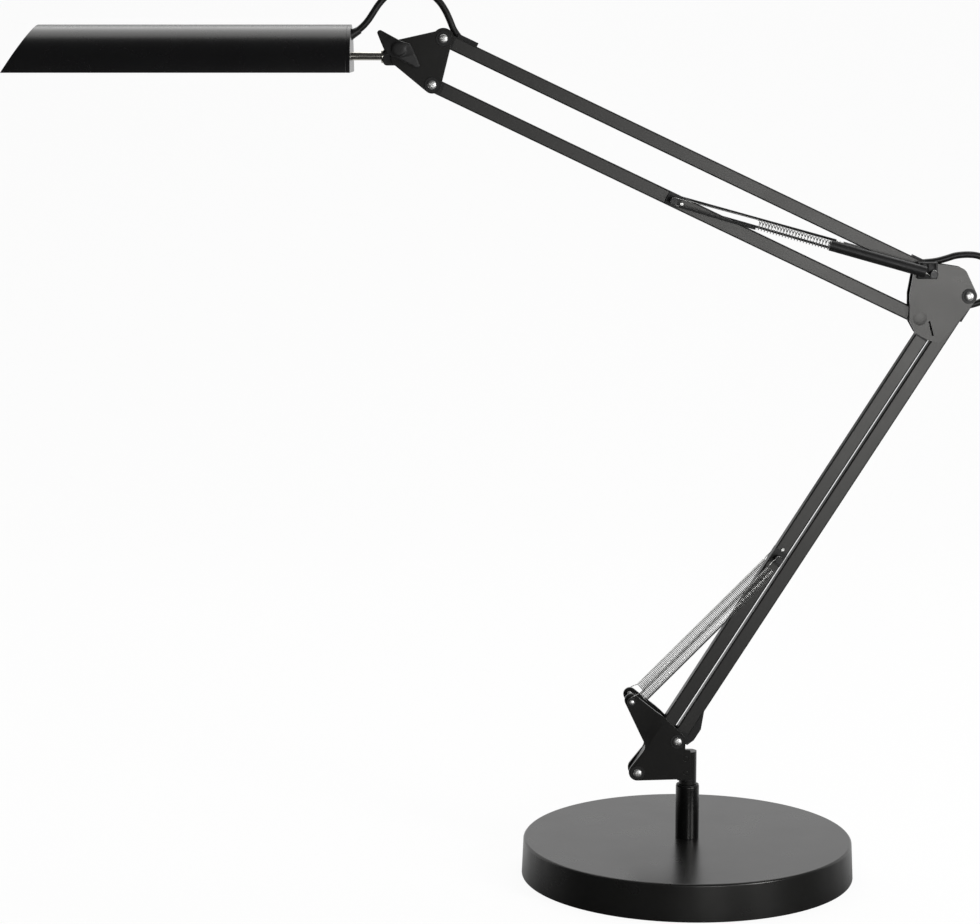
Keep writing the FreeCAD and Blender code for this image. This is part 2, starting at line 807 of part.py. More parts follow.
def make_lower_arm():
    pin_cutter = cylinder("lower_pin_hole", "dims.stud_radius + 0.05", "20", facing_back(LOWER_PIN, -10))
    rod_tube("lower_rod_left", PIVOT_LEFT_FOOT, LOWER_ANGLE, [pin_cutter])
    rod_ends("lower_rod_left_ends", PIVOT_LEFT_FOOT, LOWER_ANGLE, ("dims.running_fit", "dims.open_fit"))
    keep(spring_pin("lower_spring_pin", LOWER_PIN), "lower_spring_pin")

    entry = flex_channel("elbow_entry", ELBOW_LOOP_LOWER)
    lead_from, lead_way, lead_length = 22.0, LOWER_ANGLE - 143.0, 16.0
    lead_start = along(PIVOT_RIGHT_FOOT, LOWER_ANGLE, lead_from)
    lead_spin = Rotation(Vector(0, 0, 1), world(heading(lead_way)))
    lead_exit = cylinder("lead_exit", "dims.flex_width / 2 + dims.flex_room", f"{lead_length}",
                         Placement(world(lead_start), lead_spin))
    rod_tube("lower_rod_right", PIVOT_RIGHT_FOOT, LOWER_ANGLE, [entry, lead_exit])
    fits = ("dims.running_fit", "dims.running_fit")
    rod_ends("lower_rod_right_ends", PIVOT_RIGHT_FOOT, LOWER_ANGLE, fits, [entry, lead_exit])
    face = size("rod_width") / 2
    hump = [(0.8, face), (24.0, face), (13.5, 8.6), (5.5, 8.6), (0.8, 6.8)]
    hump_edges = polygon([
        along(along(PIVOT_RIGHT_FOOT, LOWER_ANGLE, far), LOWER_ANGLE - 90, out) for far, out in hump
    ])
    hump_body = pad_body("lead_hump", "XZ_Plane", hump_edges, "dims.bush_width")
    hump_body.Placement.Base.y = size("bush_width") / 2
    lower = cut("lead_bush", hump_body, lead_exit)
    upper = flex_bush("elbow_bush", PIVOT_RIGHT_FOOT, LOWER_ANGLE, ARM - 15.5, 13.5, -1, 1.0, entry)
    keep(group("lower_flex_bushes", [lower, upper]), "lower_flex_bushes")
    run_start, run_end = 30.0, ARM - 18.0
    place = link_frame(along(PIVOT_RIGHT_FOOT, LOWER_ANGLE, run_start), LOWER_ANGLE)
    place = place.multiply(Placement(Vector(0, 0, 0), Rotation(Vector(0, 1, 0), 90)))
    inner_flex = cylinder("flex_in_lower_rod", "dims.flex_width / 2", f"{run_end - run_start}", place)
    keep(inner_flex, "flex_in_lower_rod")


def make_lower_springs():
    side = size("spring_side")
    touch = size("stud_radius") + 0.05
    for label, sign in (("lower_spring_front", -1), ("lower_spring_rear", 1)):
        foot, head = world(SPRING_EAR, sign * side), world(LOWER_PIN, sign * side)
        way = head - foot
        way.normalize()
        feature(label, spring_solid(label, foot + way * touch, head - way * touch, 3.0, 8.0, 25))


def make_elbow():
    c_x, c_z = PIVOT_RIGHT_ELBOW
    d_x, d_z = PIVOT_LEFT_ELBOW
    low_x, low_z = PIVOT_BOTTOM_ELBOW
    top_x, top_z = PIVOT_TOP_ELBOW
    circles = [
        (140.6, 331.6, 2.0, 1),
        (146.2, 330.2, 2.0, 1),
        (154.6, 341.0, 3.0, 1),
        (c_x, c_z, 4.7, 1),
        (157.0, 367.0, 6.2, 1),
        (143.0, 371.0, 4.4, 1),
        (133.6, 372.6, 2.4, 1),
        (131.6, 357.0, 3.0, 1),
        (low_x, low_z, 6.2, 1),
        (134.8, 335.6, 2.6, 1),
    ]
    slot_top, slot_end = (141.9, 343.2), (144.1, 334.0)
    slot_way = math.degrees(math.atan2(slot_end[1] - slot_top[1], slot_end[0] - slot_top[0]))
    slot_length = math.dist(slot_top, slot_end)
    slot = block("elbow_slot", f"{slot_length}", "6", "0.9", link_frame(slot_top, slot_way, -10.0))
    pivots = [(c_x, c_z), (d_x, d_z), (low_x, low_z), (top_x, top_z)]
    plate_pair("elbow_plate", circles, pivots, slot)
    keep(screw("elbow_screw", PIVOT_RIGHT_ELBOW, -PLATE_OUTSIDE - 0.02), "elbow_screw")
    keep(nut("elbow_nut", PIVOT_RIGHT_ELBOW, PLATE_OUTSIDE + 0.02), "elbow_nut")
    rivets = [
        rivet("elbow_rivet_low", PIVOT_BOTTOM_ELBOW, "3.6"),
        rivet("elbow_rivet_left", PIVOT_LEFT_ELBOW),
    ]
    keep(group("elbow_rivets", rivets), "elbow_rivets")
    reach = size("pin_half_length")
    pin_place = facing_back(PIVOT_TOP_ELBOW, -reach)
    pin = cylinder("elbow_pin_shank", "dims.screw_radius", "2 * dims.pin_half_length", pin_place)
    heads = [
        cylinder(f"elbow_pin_head_{n}", "dims.stud_head + 0.3", "0.9", facing_back(PIVOT_TOP_ELBOW, y))
        for n, y in (("front", -reach), ("rear", reach - 0.9))
    ]
    collar_length = 4.0
    collars = [
        cylinder(f"elbow_pin_collar_{n}", "4.2", f"{collar_length}", facing_back(PIVOT_TOP_ELBOW, y))
        for n, y in (("front", -PLATE_OUTSIDE - 0.05 - collar_length), ("rear", PLATE_OUTSIDE + 0.05))
    ]
    keep(joined("elbow_spring_pin", pin, *heads, *collars), "elbow_spring_pin")


def make_upper_arm():
    start, angle = PIVOT_TOP_HEAD, UPPER_ANGLE - 180
    exit_cutter = flex_channel("elbow_exit", ELBOW_LOOP_UPPER)
    head_cutter = flex_channel("head_entry", HEAD_LOOP_ARM)
    rod_tube("upper_rod_top", start, angle, [exit_cutter, head_cutter])
    fits = ("dims.running_fit", "dims.running_fit")
    rod_ends("upper_rod_top_ends", start, angle, fits, [exit_cutter, head_cutter])
    head_bush = flex_bush("head_bush", start, angle, 7.0, 12.8, 1, 2.3, head_cutter)
    elbow_bush = flex_bush("arm_exit_bush", start, angle, ARM - 14.5, 8.0, 1, 1.0, exit_cutter)
    keep(group("upper_flex_bushes", [head_bush, elbow_bush]), "upper_flex_bushes")
    run_start, run_end = 20.0, ARM - 18.0
    place = link_frame(along(start, angle, run_start), angle)
    place = place.multiply(Placement(Vector(0, 0, 0), Rotation(Vector(0, 1, 0), 90)))
    inner_flex = cylinder("flex_in_upper_rod", "dims.flex_width / 2", f"{run_end - run_start}", place)
    keep(inner_flex, "flex_in_upper_rod")

    start = PIVOT_BOTTOM_HEAD
    pin_cutter = cylinder("upper_pin_hole", "dims.stud_radius + 0.05", "20", facing_back(UPPER_PIN, -10))
    rod_tube("upper_rod_bottom", start, angle, [pin_cutter])
    rod_ends("upper_rod_bottom_ends", start, angle, ("dims.open_fit", "dims.running_fit"))
    keep(spring_pin("upper_spring_pin", UPPER_PIN), "upper_spring_pin")


def make_upper_springs():
    side = size("spring_side")
    for label, sign in (("upper_spring_front", -1), ("upper_spring_rear", 1)):
        foot, head = world(UPPER_PIN, sign * side), world(PIVOT_TOP_ELBOW, sign * side)
        way = head - foot
        way.normalize()
        start = foot + way * (size("stud_radius") + 0.05)
        end = head - way * (size("screw_radius") + 0.05)
        feature(label, spring_solid(label, start, end, 46.0, 8.0, 25))


def make_head_bracket():
    h1_x, h1_z = PIVOT_TOP_HEAD
    h2_x, h2_z = PIVOT_BOTTOM_HEAD
    k_x, k_z = TILT_PIVOT
    circles = [
        (h2_x, h2_z, 5.2, 1),
        (h1_x, h1_z, 5.2, 1),
        (k_x, k_z, 5.4, 1),
        (-175.6, 495.0, 3.2, 1),
    ]
    plate_pair("head_plate", circles, [PIVOT_TOP_HEAD, PIVOT_BOTTOM_HEAD, TILT_PIVOT])
    pivots = {"top": PIVOT_TOP_HEAD, "bottom": PIVOT_BOTTOM_HEAD}
    screws = [screw(f"head_screw_{n}", p, -PLATE_OUTSIDE - 0.02) for n, p in pivots.items()]
    keep(group("head_pivot_screws", screws), "head_pivot_screws")
    everywhere = dict(pivots, tilt=TILT_PIVOT)
    nuts = [nut(f"head_nut_{n}", p, PLATE_OUTSIDE + 0.02) for n, p in everywhere.items()]
    keep(group("head_pivot_nuts", nuts), "head_pivot_nuts")
    hub = size("hub_height")
    bolt = cylinder("tilt_bolt", "dims.screw_radius", f"{2 * PLATE_OUTSIDE + hub + 3.4}",
                    facing_back(TILT_PIVOT, -PLATE_OUTSIDE - hub - 0.2))
    keep(bolt, "tilt_bolt")
    wing_angle, wing_reach = 138.0, 12.2
    wings = []
    for number, angle in enumerate((wing_angle, wing_angle + 180)):
        tip = along((0, 0), angle, wing_reach)
        edges = belt([(0, 0, 3.4, 1), (tip[0], tip[1], 2.4, 1)])
        wing = pad_body(f"wing_{number}", "XZ_Plane", edges, "dims.wing_height")
        wing.Placement = Placement(world(TILT_PIVOT, -PLATE_OUTSIDE - 2.2), Rotation())
        wings.append(wing)
    hub_place = facing_back(TILT_PIVOT, -PLATE_OUTSIDE - hub - 0.05)
    hub_body = cylinder("wing_hub", "dims.hub_radius", "dims.hub_height", hub_place)
    nut_bore = pivot_hole("wing_bore", TILT_PIVOT, "0.03")
    keep(cut("wing_nut", joined("wing_whole", hub_body, *wings), nut_bore), "wing_nut")


def make_head_swivel():
    k_x, k_z = TILT_PIVOT
    left = -181.4
    circles = [
        (k_x, k_z, 5.2, 1),
        (left, 499.4, 2.4, 1),
        (left, 494.2, 2.4, 1),
        (-174.6, 494.4, 2.6, 1),
    ]
    edges = belt(circles)
    knuckle = pad_body("knuckle_block", "XZ_Plane", edges, "2 * dims.eye_half_width",
                       [(k_x, k_z, "dims.screw_radius + dims.running_fit")])
    knuckle.Placement.Base.y = size("eye_half_width")
    stem_start, stem_end = -180.0, -216.5
    along_x = Rotation(Vector(0, 1, 0), 90)

    def on_stem(x):
        return Placement(Vector(x, 0, STEM_HEIGHT), along_x)

    seat_length = 60.0
    seat = cylinder("stem_seat", "dims.stem_radius", f"{seat_length}", on_stem(stem_start - seat_length))
    keep(cut("swivel_knuckle", knuckle, seat), "swivel_knuckle")
    rod = cylinder("stem_rod", "dims.stem_radius", f"{stem_start - stem_end}", on_stem(stem_end))
    collar = cylinder("stem_collar", "dims.stem_radius + 1.6", "1.0", on_stem(-184.9))
    clip = cylinder("stem_clip", "dims.stem_radius + 1.3", "0.9", on_stem(stem_end + 0.4))
    keep(joined("swivel_stem", rod, collar, clip), "swivel_stem")


def half_round(radius, centre, flat):
    """A disc in the YZ plane, cut off below a flat, as sketch edges (y, z)."""
    circle = Part.Circle(Vector(0, centre, 0), Vector(0, 0, 1), radius)
    start = math.asin((flat - centre) / radius)
    reach = radius * math.cos(start)
    return [
        Part.ArcOfCircle(circle, start, math.pi - start),
        Part.LineSegment(Vector(-reach, flat, 0), Vector(reach, flat, 0)),
    ]


def lifted(distance):
    """A step along local Z."""
    return Placement(Vector(0, 0, distance), Rotation())


def flex_gland_frame():
    """Local Z runs out of the shade along the flex's first run."""
    first, second = Vector(*HEAD_LOOP_SHADE[0]), Vector(*HEAD_LOOP_SHADE[1])
    return Placement(first, Rotation(Vector(0, 0, 1), second - first))


def make_shade():
    radius, wall, cap = size("shade_radius"), size("shade_wall"), size("cap_thickness")
    floor = SHADE_FLOOR
    crown = floor + radius
    inner_end = SHADE_INNER_END - cap
    tip_low = SHADE_TIP_TOP - radius * SHADE_TIP_SLOPE
    length = inner_end - tip_low
    inside = radius - wall
    lip, lip_height = 2.2, 1.2
    outer_arc = Part.Circle(Vector(0, floor, 0), Vector(0, 0, 1), radius)
    inner_arc = Part.Circle(Vector(0, floor, 0), Vector(0, 0, 1), inside)
    lip_angle = math.asin(lip_height / inside)
    inner_y = inside * math.cos(lip_angle)
    profile = [
        Part.ArcOfCircle(outer_arc, 0, math.pi),
        Part.ArcOfCircle(inner_arc, lip_angle, math.pi - lip_angle),
    ]
    for sign in (1, -1):
        corners = [
            (sign * radius, floor),
            (sign * (inside - lip), floor),
            (sign * (inside - lip), floor + lip_height),
            (sign * inner_y, floor + lip_height),
        ]
        points = [Vector(y, z, 0) for y, z in corners]
        profile += [Part.LineSegment(a, b) for a, b in zip(points, points[1:])]
    shell = pad_body("shade_profile", "YZ_Plane", profile, f"{length}")
    shell.Placement.Base.x = tip_low
    # The free end is cut off on a slope, longer underneath than on top.
    slope = math.degrees(math.atan(SHADE_TIP_SLOPE))
    wedge_height, wedge_length = 60.0, 60.0
    wedge_spin = Rotation(Vector(0, 1, 0), slope)

    def wedge(name, inset, thickness):
        corner = wedge_spin.multVec(Vector(inset - thickness, -40, -30))
        place = Placement(Vector(tip_low, 0, floor) + corner, wedge_spin)
        return block(name, f"{thickness}", "80", f"{wedge_height + 20}", place)

    keep(cut("shade_shell", shell, wedge("tip_wedge", 0.0, wedge_length)), "shade_shell")

    cap_length = "dims.cap_thickness"
    disc = pad_body("cap_disc", "YZ_Plane", half_round(radius, floor, floor), cap_length)
    disc.Placement.Base.x = inner_end
    along_x = Rotation(Vector(0, 1, 0), 90)
    hub_length = 10.0
    hub_start = Vector(inner_end - hub_length, 0, STEM_HEIGHT)
    hub = cylinder("cap_hub", "4.6", f"{hub_length}", Placement(hub_start, along_x))
    stem_bore = cylinder("cap_bore", "dims.stem_radius + dims.running_fit", "40",
                         Placement(Vector(inner_end - 30, 0, STEM_HEIGHT), along_x))
    flex_bore = cylinder("cap_flex_bore", "dims.flex_width / 2 + 1.05", "20",
                         flex_gland_frame().multiply(lifted(-10)))
    keep(cut("shade_end_cap", joined("cap_whole", disc, hub), stem_bore, flex_bore), "shade_end_cap")

    tip_outline = half_round(inside - 0.1, floor, floor + lip_height + 0.1)
    tip_solid = pad_body("tip_half_round", "YZ_Plane", tip_outline, f"{length}")
    tip_solid.Placement.Base.x = tip_low
    tip_plate = overlap("shade_tip_cap", tip_solid, wedge("tip_slab", 1.8, 1.8))
    keep(tip_plate, "shade_tip_cap")

    flat_start = SHADE_TIP_TOP + 3.0
    tray_height, tray_thickness = floor + 13.0, 1.5
    tray_half = math.sqrt(inside**2 - (tray_height + tray_thickness - floor) ** 2) - 0.2
    tray_end = inner_end - 13.0
    tray = block("led_tray", f"{tray_end - flat_start}", f"{2 * tray_half}", f"{tray_thickness}",
                 Placement(Vector(flat_start, -tray_half, tray_height), Rotation()))
    keep(tray, "led_tray")
    board_half, board_thickness = 8.0, 1.6
    board_height = tray_height - board_thickness
    board = block("led_board", f"{tray_end - flat_start - 6}", f"{2 * board_half}", f"{board_thickness}",
                  Placement(Vector(flat_start + 3, -board_half, board_height), Rotation()))
    keep(board, "led_board")
    chips = []
    chip_count, chip_length, chip_height = 24, 3.5, 0.8
    chip_pitch = (tray_end - flat_start - 20) / (chip_count - 1)
    for i in range(chip_count):
        x = flat_start + 10 + chip_pitch * i - chip_length / 2
        corner = Placement(Vector(x, -1.4, board_height - chip_height), Rotation())
        chips.append(block(f"chip_{i}", f"{chip_length}", "2.8", f"{chip_height}", corner))
    keep(group("led_chips", chips), "led_chips")
    sheet_half, sheet_thickness = inside - 0.9, 1.8
    sheet_floor = floor + lip_height + 0.1
    sheet_start = tip_low + sheet_thickness + 4.2
    sheet_length = inner_end - 0.2 - sheet_start
    sheet_corner = Placement(Vector(sheet_start, -sheet_half, sheet_floor), Rotation())
    sheet_body = block("diffuser", f"{sheet_length}", f"{2 * sheet_half}", f"{sheet_thickness}", sheet_corner)
    keep(sheet_body, "diffuser")

    gland_frame = flex_gland_frame()
    collar_start, collar_length, sleeve_start = 4.3, 1.4, -1.4
    collar = cylinder("gland_collar", "dims.flex_width / 2 + 1.7", f"{collar_length}",
                      gland_frame.multiply(lifted(collar_start)))
    sleeve = cylinder("gland_sleeve", "dims.flex_width / 2 + 1.0", f"{collar_start - sleeve_start + 0.5}",
                      gland_frame.multiply(lifted(sleeve_start)))
    bore = flex_channel("gland_bore", HEAD_LOOP_SHADE, 3.0)
    keep(cut("flex_gland", joined("gland_whole", collar, sleeve), bore), "flex_gland")


def make_flex():
    routes = {
        "flex_elbow_upper": ELBOW_LOOP_UPPER,
        "flex_elbow_lower": ELBOW_LOOP_LOWER,
        "flex_head_shade": HEAD_LOOP_SHADE,
        "flex_head_middle": HEAD_LOOP_MIDDLE,
        "flex_head_arm": HEAD_LOOP_ARM,
    }
    for label, route in routes.items():
        feature(label, flex_solid(label, route))


make_base()
make_lower_bracket()
make_lower_arm()
make_lower_springs()
make_elbow()
make_upper_arm()
make_upper_springs()
make_head_bracket()
make_head_swivel()
make_shade()
make_flex()
doc.recompute()

failed = [o.Name for o in doc.Objects if {"Invalid", "Error"} & set(o.State)]
broken = [o.Label for o in sub_parts if o.Shape.isNull() or not o.Shape.isValid() or not o.Shape.Solids]
if failed or broken:
    raise RuntimeError(f"failed objects {failed}, broken shapes {broken}")
os.makedirs("parts", exist_ok=True)
for sub_part in sub_parts:
    sub_part.Shape.exportStep(f"parts/{sub_part.Label}.step")
print(f"{len(sub_parts)} sub-parts written")
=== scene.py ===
import bpy
import bmesh
import json
import math
from mathutils import Matrix, Vector


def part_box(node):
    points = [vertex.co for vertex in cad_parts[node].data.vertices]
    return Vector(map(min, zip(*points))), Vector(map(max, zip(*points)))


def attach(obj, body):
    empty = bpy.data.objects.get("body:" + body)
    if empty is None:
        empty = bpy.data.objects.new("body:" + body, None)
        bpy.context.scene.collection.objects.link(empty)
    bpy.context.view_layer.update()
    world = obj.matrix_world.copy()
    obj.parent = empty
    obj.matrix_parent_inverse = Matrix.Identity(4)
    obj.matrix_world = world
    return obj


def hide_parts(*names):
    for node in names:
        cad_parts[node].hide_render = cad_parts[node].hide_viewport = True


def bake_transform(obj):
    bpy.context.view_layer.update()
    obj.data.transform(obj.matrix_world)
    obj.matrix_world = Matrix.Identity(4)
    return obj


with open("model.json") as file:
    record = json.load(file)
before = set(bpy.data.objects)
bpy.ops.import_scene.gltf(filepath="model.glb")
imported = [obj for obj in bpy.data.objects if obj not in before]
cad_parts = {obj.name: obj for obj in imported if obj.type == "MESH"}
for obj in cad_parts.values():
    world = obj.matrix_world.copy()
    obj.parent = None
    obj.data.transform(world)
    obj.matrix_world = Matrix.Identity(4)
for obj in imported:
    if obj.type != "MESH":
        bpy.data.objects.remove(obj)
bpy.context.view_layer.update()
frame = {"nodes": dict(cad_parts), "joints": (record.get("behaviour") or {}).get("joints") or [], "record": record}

# The looks of a spring-balanced desk lamp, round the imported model. Metres, Z up.
# The arms lie in the XZ plane, and the lamp stands on the floor at Z = 0.

MM = 0.001
RECORD = frame["record"]
SLOT_OF = {part["node"]: part["material_slot"] for part in RECORD["subparts"]}
BODY_OF = {n: body for body, nodes in RECORD["behaviour"]["bodies"].items() for n in nodes}
JOINT_AT = {joint["name"]: Vector(joint["pos_m"]) for joint in frame["joints"]}


def middle(node):
    """The middle of a CAD node's box."""
    low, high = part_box(node)
    return (low + high) / 2


# Pivots of the arms; the last two belong to the opened loops.
RIGHT_FOOT = JOINT_AT["lower_arm"]
LEFT_FOOT = JOINT_AT["lower_arm_left"]
RIGHT_ELBOW = JOINT_AT["elbow_level"]
TOP_ELBOW = JOINT_AT["upper_arm"]
BOTTOM_ELBOW = JOINT_AT["upper_arm_bottom"]
TOP_HEAD = JOINT_AT["head_level"]
TILT = JOINT_AT["head_tilt"]
BOTTOM_HEAD = TOP_HEAD + BOTTOM_ELBOW - TOP_ELBOW
EAR = middle("lower_spring_studs")
LOWER_PIN = middle("lower_spring_pin")
UPPER_PIN = middle("upper_spring_pin")
SPRING_SIDE = 13.0 * MM
FLEX = 4.0 * MM
ROD = 8.3 * MM
PLATE_OUTSIDE = 6.5 * MM
WASHER = 0.45 * MM
DEEP = Vector((0.0, 1.0, 0.0))
FRONT = -DEEP


def at_depth(point, depth):
    """A place as far along and as high as a point, at a depth."""
    return Vector((point.x, depth, point.z))


def in_metres(pairs):
    """Pairs of millimetres as metres."""
    return [(a * MM, b * MM) for a, b in pairs]


# ---- camera ---------------------------------------------------------------------


def add_camera():
    """The photograph's view: level with the head, looking a little down."""
    lens = bpy.data.cameras.new("camera")
    lens.lens = 105.43
    lens.sensor_width = 36.0
    lens.clip_end = 50.0
    camera = bpy.data.objects.new("camera", lens)
    camera.location = (-0.12088, -1.70799, 0.51357)
    camera.rotation_euler = (math.radians(81.403), 0.0, 0.0)
    bpy.context.scene.collection.objects.link(camera)
    bpy.context.scene.camera = camera


# ---- materials ------------------------------------------------------------------


class Nodes:
    """A new node material with its shader, and short ways to add nodes."""

    def __init__(self, name):
        self.material = bpy.data.materials.new(name)
        self.material.use_nodes = True
        self.tree = self.material.node_tree
        self.shader = self.tree.nodes["Principled BSDF"]

    def add(self, kind, **inputs):
        """A node with some of its inputs set."""
        node = self.tree.nodes.new(kind)
        for key, value in inputs.items():
            node.inputs[key.replace("_", " ")].default_value = value
        return node

    def link(self, source, target):
        self.tree.links.new(source, target)

    def coords(self, stretch=(1.0, 1.0, 1.0)):
        """Object coordinates, stretched."""
        where = self.add("ShaderNodeTexCoord")
        scaled = self.add("ShaderNodeMapping")
        scaled.inputs["Scale"].default_value = stretch
        self.link(where.outputs["Object"], scaled.inputs["Vector"])
        return scaled.outputs["Vector"]

    def noise(self, where, scale, detail=3.0, roughness=0.5):
        """Soft noise at the given coordinates."""
        cloud = self.add("ShaderNodeTexNoise", Scale=scale, Detail=detail, Roughness=roughness)
        self.link(where, cloud.inputs["Vector"])
        return cloud.outputs["Fac"]

    def spread(self, value, low, high, start=0.3, end=0.7):
        """A value between start and end, spread over low to high."""
        span = self.add("ShaderNodeMapRange", From_Min=start, From_Max=end, To_Min=low, To_Max=high)
        self.link(value, span.inputs["Value"])
        return span.outputs["Result"]

    def mix(self, share, first, second):
        """A colour between two others."""
        blend = self.tree.nodes.new("ShaderNodeMix")
        blend.data_type = "RGBA"
        blend.inputs["A"].default_value = (*first, 1.0)
        blend.inputs["B"].default_value = (*second, 1.0)
        self.link(share, blend.inputs["Factor"])
        return blend.outputs["Result"]

    def bump(self, height, depth, strength, under=None):
        """Relief from a height, on top of other relief if any is given."""
        relief = self.add("ShaderNodeBump", Strength=strength, Distance=depth)
        self.link(height, relief.inputs["Height"])
        if under is not None:
            self.link(under, relief.inputs["Normal"])
        return relief.outputs["Normal"]

    def edges(self, reach):
        """Nearly 0 on flat stretches, up to 1 on edges that are sharper than reach."""
        rounded = self.add("ShaderNodeBevel", Radius=reach)
        rounded.samples = 4
        flat = self.add("ShaderNodeNewGeometry")
        likeness = self.tree.nodes.new("ShaderNodeVectorMath")
        likeness.operation = "DOT_PRODUCT"
        self.link(rounded.outputs["Normal"], likeness.inputs[0])
        self.link(flat.outputs["Normal"], likeness.inputs[1])
        return self.spread(likeness.outputs["Value"], 1.0, 0.0, 0.82, 0.995)


def dull_sides(look, specular):
    """Gloss on the faces to the front and back; the narrow sides lose it towards the elbow."""
    place = look.add("ShaderNodeTexCoord")
    facing = look.add("ShaderNodeSeparateXYZ")
    look.link(place.outputs["Normal"], facing.inputs["Vector"])
    outward = look.tree.nodes.new("ShaderNodeMath")
    outward.operation = "ABSOLUTE"
    look.link(facing.outputs["Y"], outward.inputs[0])
    height = look.add("ShaderNodeSeparateXYZ")
    look.link(place.outputs["Object"], height.inputs["Vector"])
    both = look.tree.nodes.new("ShaderNodeMix")
    look.link(look.spread(outward.outputs["Value"], 0.0, 1.0, 0.4, 0.8), both.inputs["Factor"])
    look.link(look.spread(height.outputs["Z"], specular, 0.02, 0.11, 0.24), both.inputs["A"])
    both.inputs["B"].default_value = specular
    look.link(both.outputs["Result"], look.shader.inputs["Specular IOR Level"])


def painted(name, colour, roughness, specular, grain=1500.0, depth=0.02, wear=0.5):
    """Satin paint: fine orange peel, patches of softer gloss, and edges rubbed a little."""
    look = Nodes(name)
    where = look.coords()
    dark = tuple(c * 0.82 for c in colour)
    patches = look.noise(where, 60.0, 4.0)
    tone = look.mix(look.spread(patches, 0.0, 1.0), dark, colour)
    rubbed = look.tree.nodes.new("ShaderNodeMix")
    rubbed.data_type = "RGBA"
    rubbed.inputs["B"].default_value = (*[min(1.0, c * 2.2 + 0.02) for c in colour], 1.0)
    worn = look.tree.nodes.new("ShaderNodeMath")
    worn.operation = "MULTIPLY"
    look.link(look.edges(0.35 * MM), worn.inputs[0])
    look.link(look.spread(look.noise(where, 240.0), 0.0, wear), worn.inputs[1])
    look.link(worn.outputs["Value"], rubbed.inputs["Factor"])
    look.link(tone, rubbed.inputs["A"])
    look.link(rubbed.outputs["Result"], look.shader.inputs["Base Color"])
    look.link(
        look.spread(look.noise(where, 35.0, 5.0), roughness - 0.012, roughness + 0.015),
        look.shader.inputs["Roughness"],
    )
    peel = look.bump(look.noise(where, grain, 2.0), depth * MM, 0.6)
    waves = look.bump(look.noise(where, 260.0, 2.0), depth * 2.0 * MM, 0.15, peel)
    look.link(waves, look.shader.inputs["Normal"])
    look.shader.inputs["Specular IOR Level"].default_value = specular
    look.shader.inputs["Specular Tint"].default_value = (1.0, 0.99, 0.965, 1.0)
    return look


def rod_painted(name, colour, roughness, specular):
    """The rods' paint, with less gloss on the narrow sides higher up."""
    look = painted(name, colour, roughness, specular, 1300.0)
    dull_sides(look, specular)
    return look.material


def body_painted(name, colour, roughness):
    """The black body paint: glossier on the base than on the plates above it."""
    look = painted(name, colour, roughness, 0.3)
    height = look.add("ShaderNodeSeparateXYZ")
    look.link(look.coords(), height.inputs["Vector"])
    gloss = look.spread(height.outputs["Z"], 0.34, 0.2, 0.026, 0.032)
    look.link(gloss, look.shader.inputs["Specular IOR Level"])
    return look.material


def moulded(name, colour, roughness, grain=900.0, depth=0.03, specular=0.4):
    """Moulded plastic or rubber with a fine matt grain."""
    look = Nodes(name)
    where = look.coords()
    dark = tuple(c * 0.75 for c in colour)
    tone = look.mix(look.spread(look.noise(where, 90.0), 0.0, 1.0), dark, colour)
    look.link(tone, look.shader.inputs["Base Color"])
    look.link(
        look.spread(look.noise(where, 140.0, 4.0), roughness - 0.06, roughness + 0.06),
        look.shader.inputs["Roughness"],
    )
    relief = look.bump(look.noise(where, grain, 3.0), depth * MM, 0.7)
    look.link(relief, look.shader.inputs["Normal"])
    look.shader.inputs["Specular IOR Level"].default_value = specular
    return look.material


def metal(name, colour, roughness, stretch=(1.0, 1.0, 1.0)):
    """Bare metal with drawing or turning marks and slightly uneven tarnish."""
    look = Nodes(name)
    marks = look.noise(look.coords(stretch), 700.0, 4.0, 0.6)
    patches = look.noise(look.coords(), 180.0, 3.0)
    tone = look.mix(look.spread(patches, 0.0, 1.0), tuple(c * 0.7 for c in colour), colour)
    look.link(tone, look.shader.inputs["Base Color"])
    dullness = look.spread(marks, roughness - 0.05, roughness + 0.09)
    look.link(dullness, look.shader.inputs["Roughness"])
    look.link(look.bump(marks, 0.01 * MM, 0.5), look.shader.inputs["Normal"])
    look.shader.inputs["Metallic"].default_value = 1.0
    return look.material


def opal_sheet(name):
    """The switched-off opal sheet under the head."""
    look = Nodes(name)
    where = look.coords()
    cloud = look.spread(look.noise(where, 40.0), 0.0, 1.0)
    tone = look.mix(cloud, (0.80, 0.80, 0.79), (0.86, 0.86, 0.85))
    look.link(tone, look.shader.inputs["Base Color"])
    look.link(look.bump(look.noise(where, 1300.0), 0.02 * MM, 0.6), look.shader.inputs["Normal"])
    look.shader.inputs["Roughness"].default_value = 0.35
    look.shader.inputs["Subsurface Weight"].default_value = 0.25
    look.shader.inputs["Subsurface Radius"].default_value = (0.004, 0.004, 0.004)
    return look.material


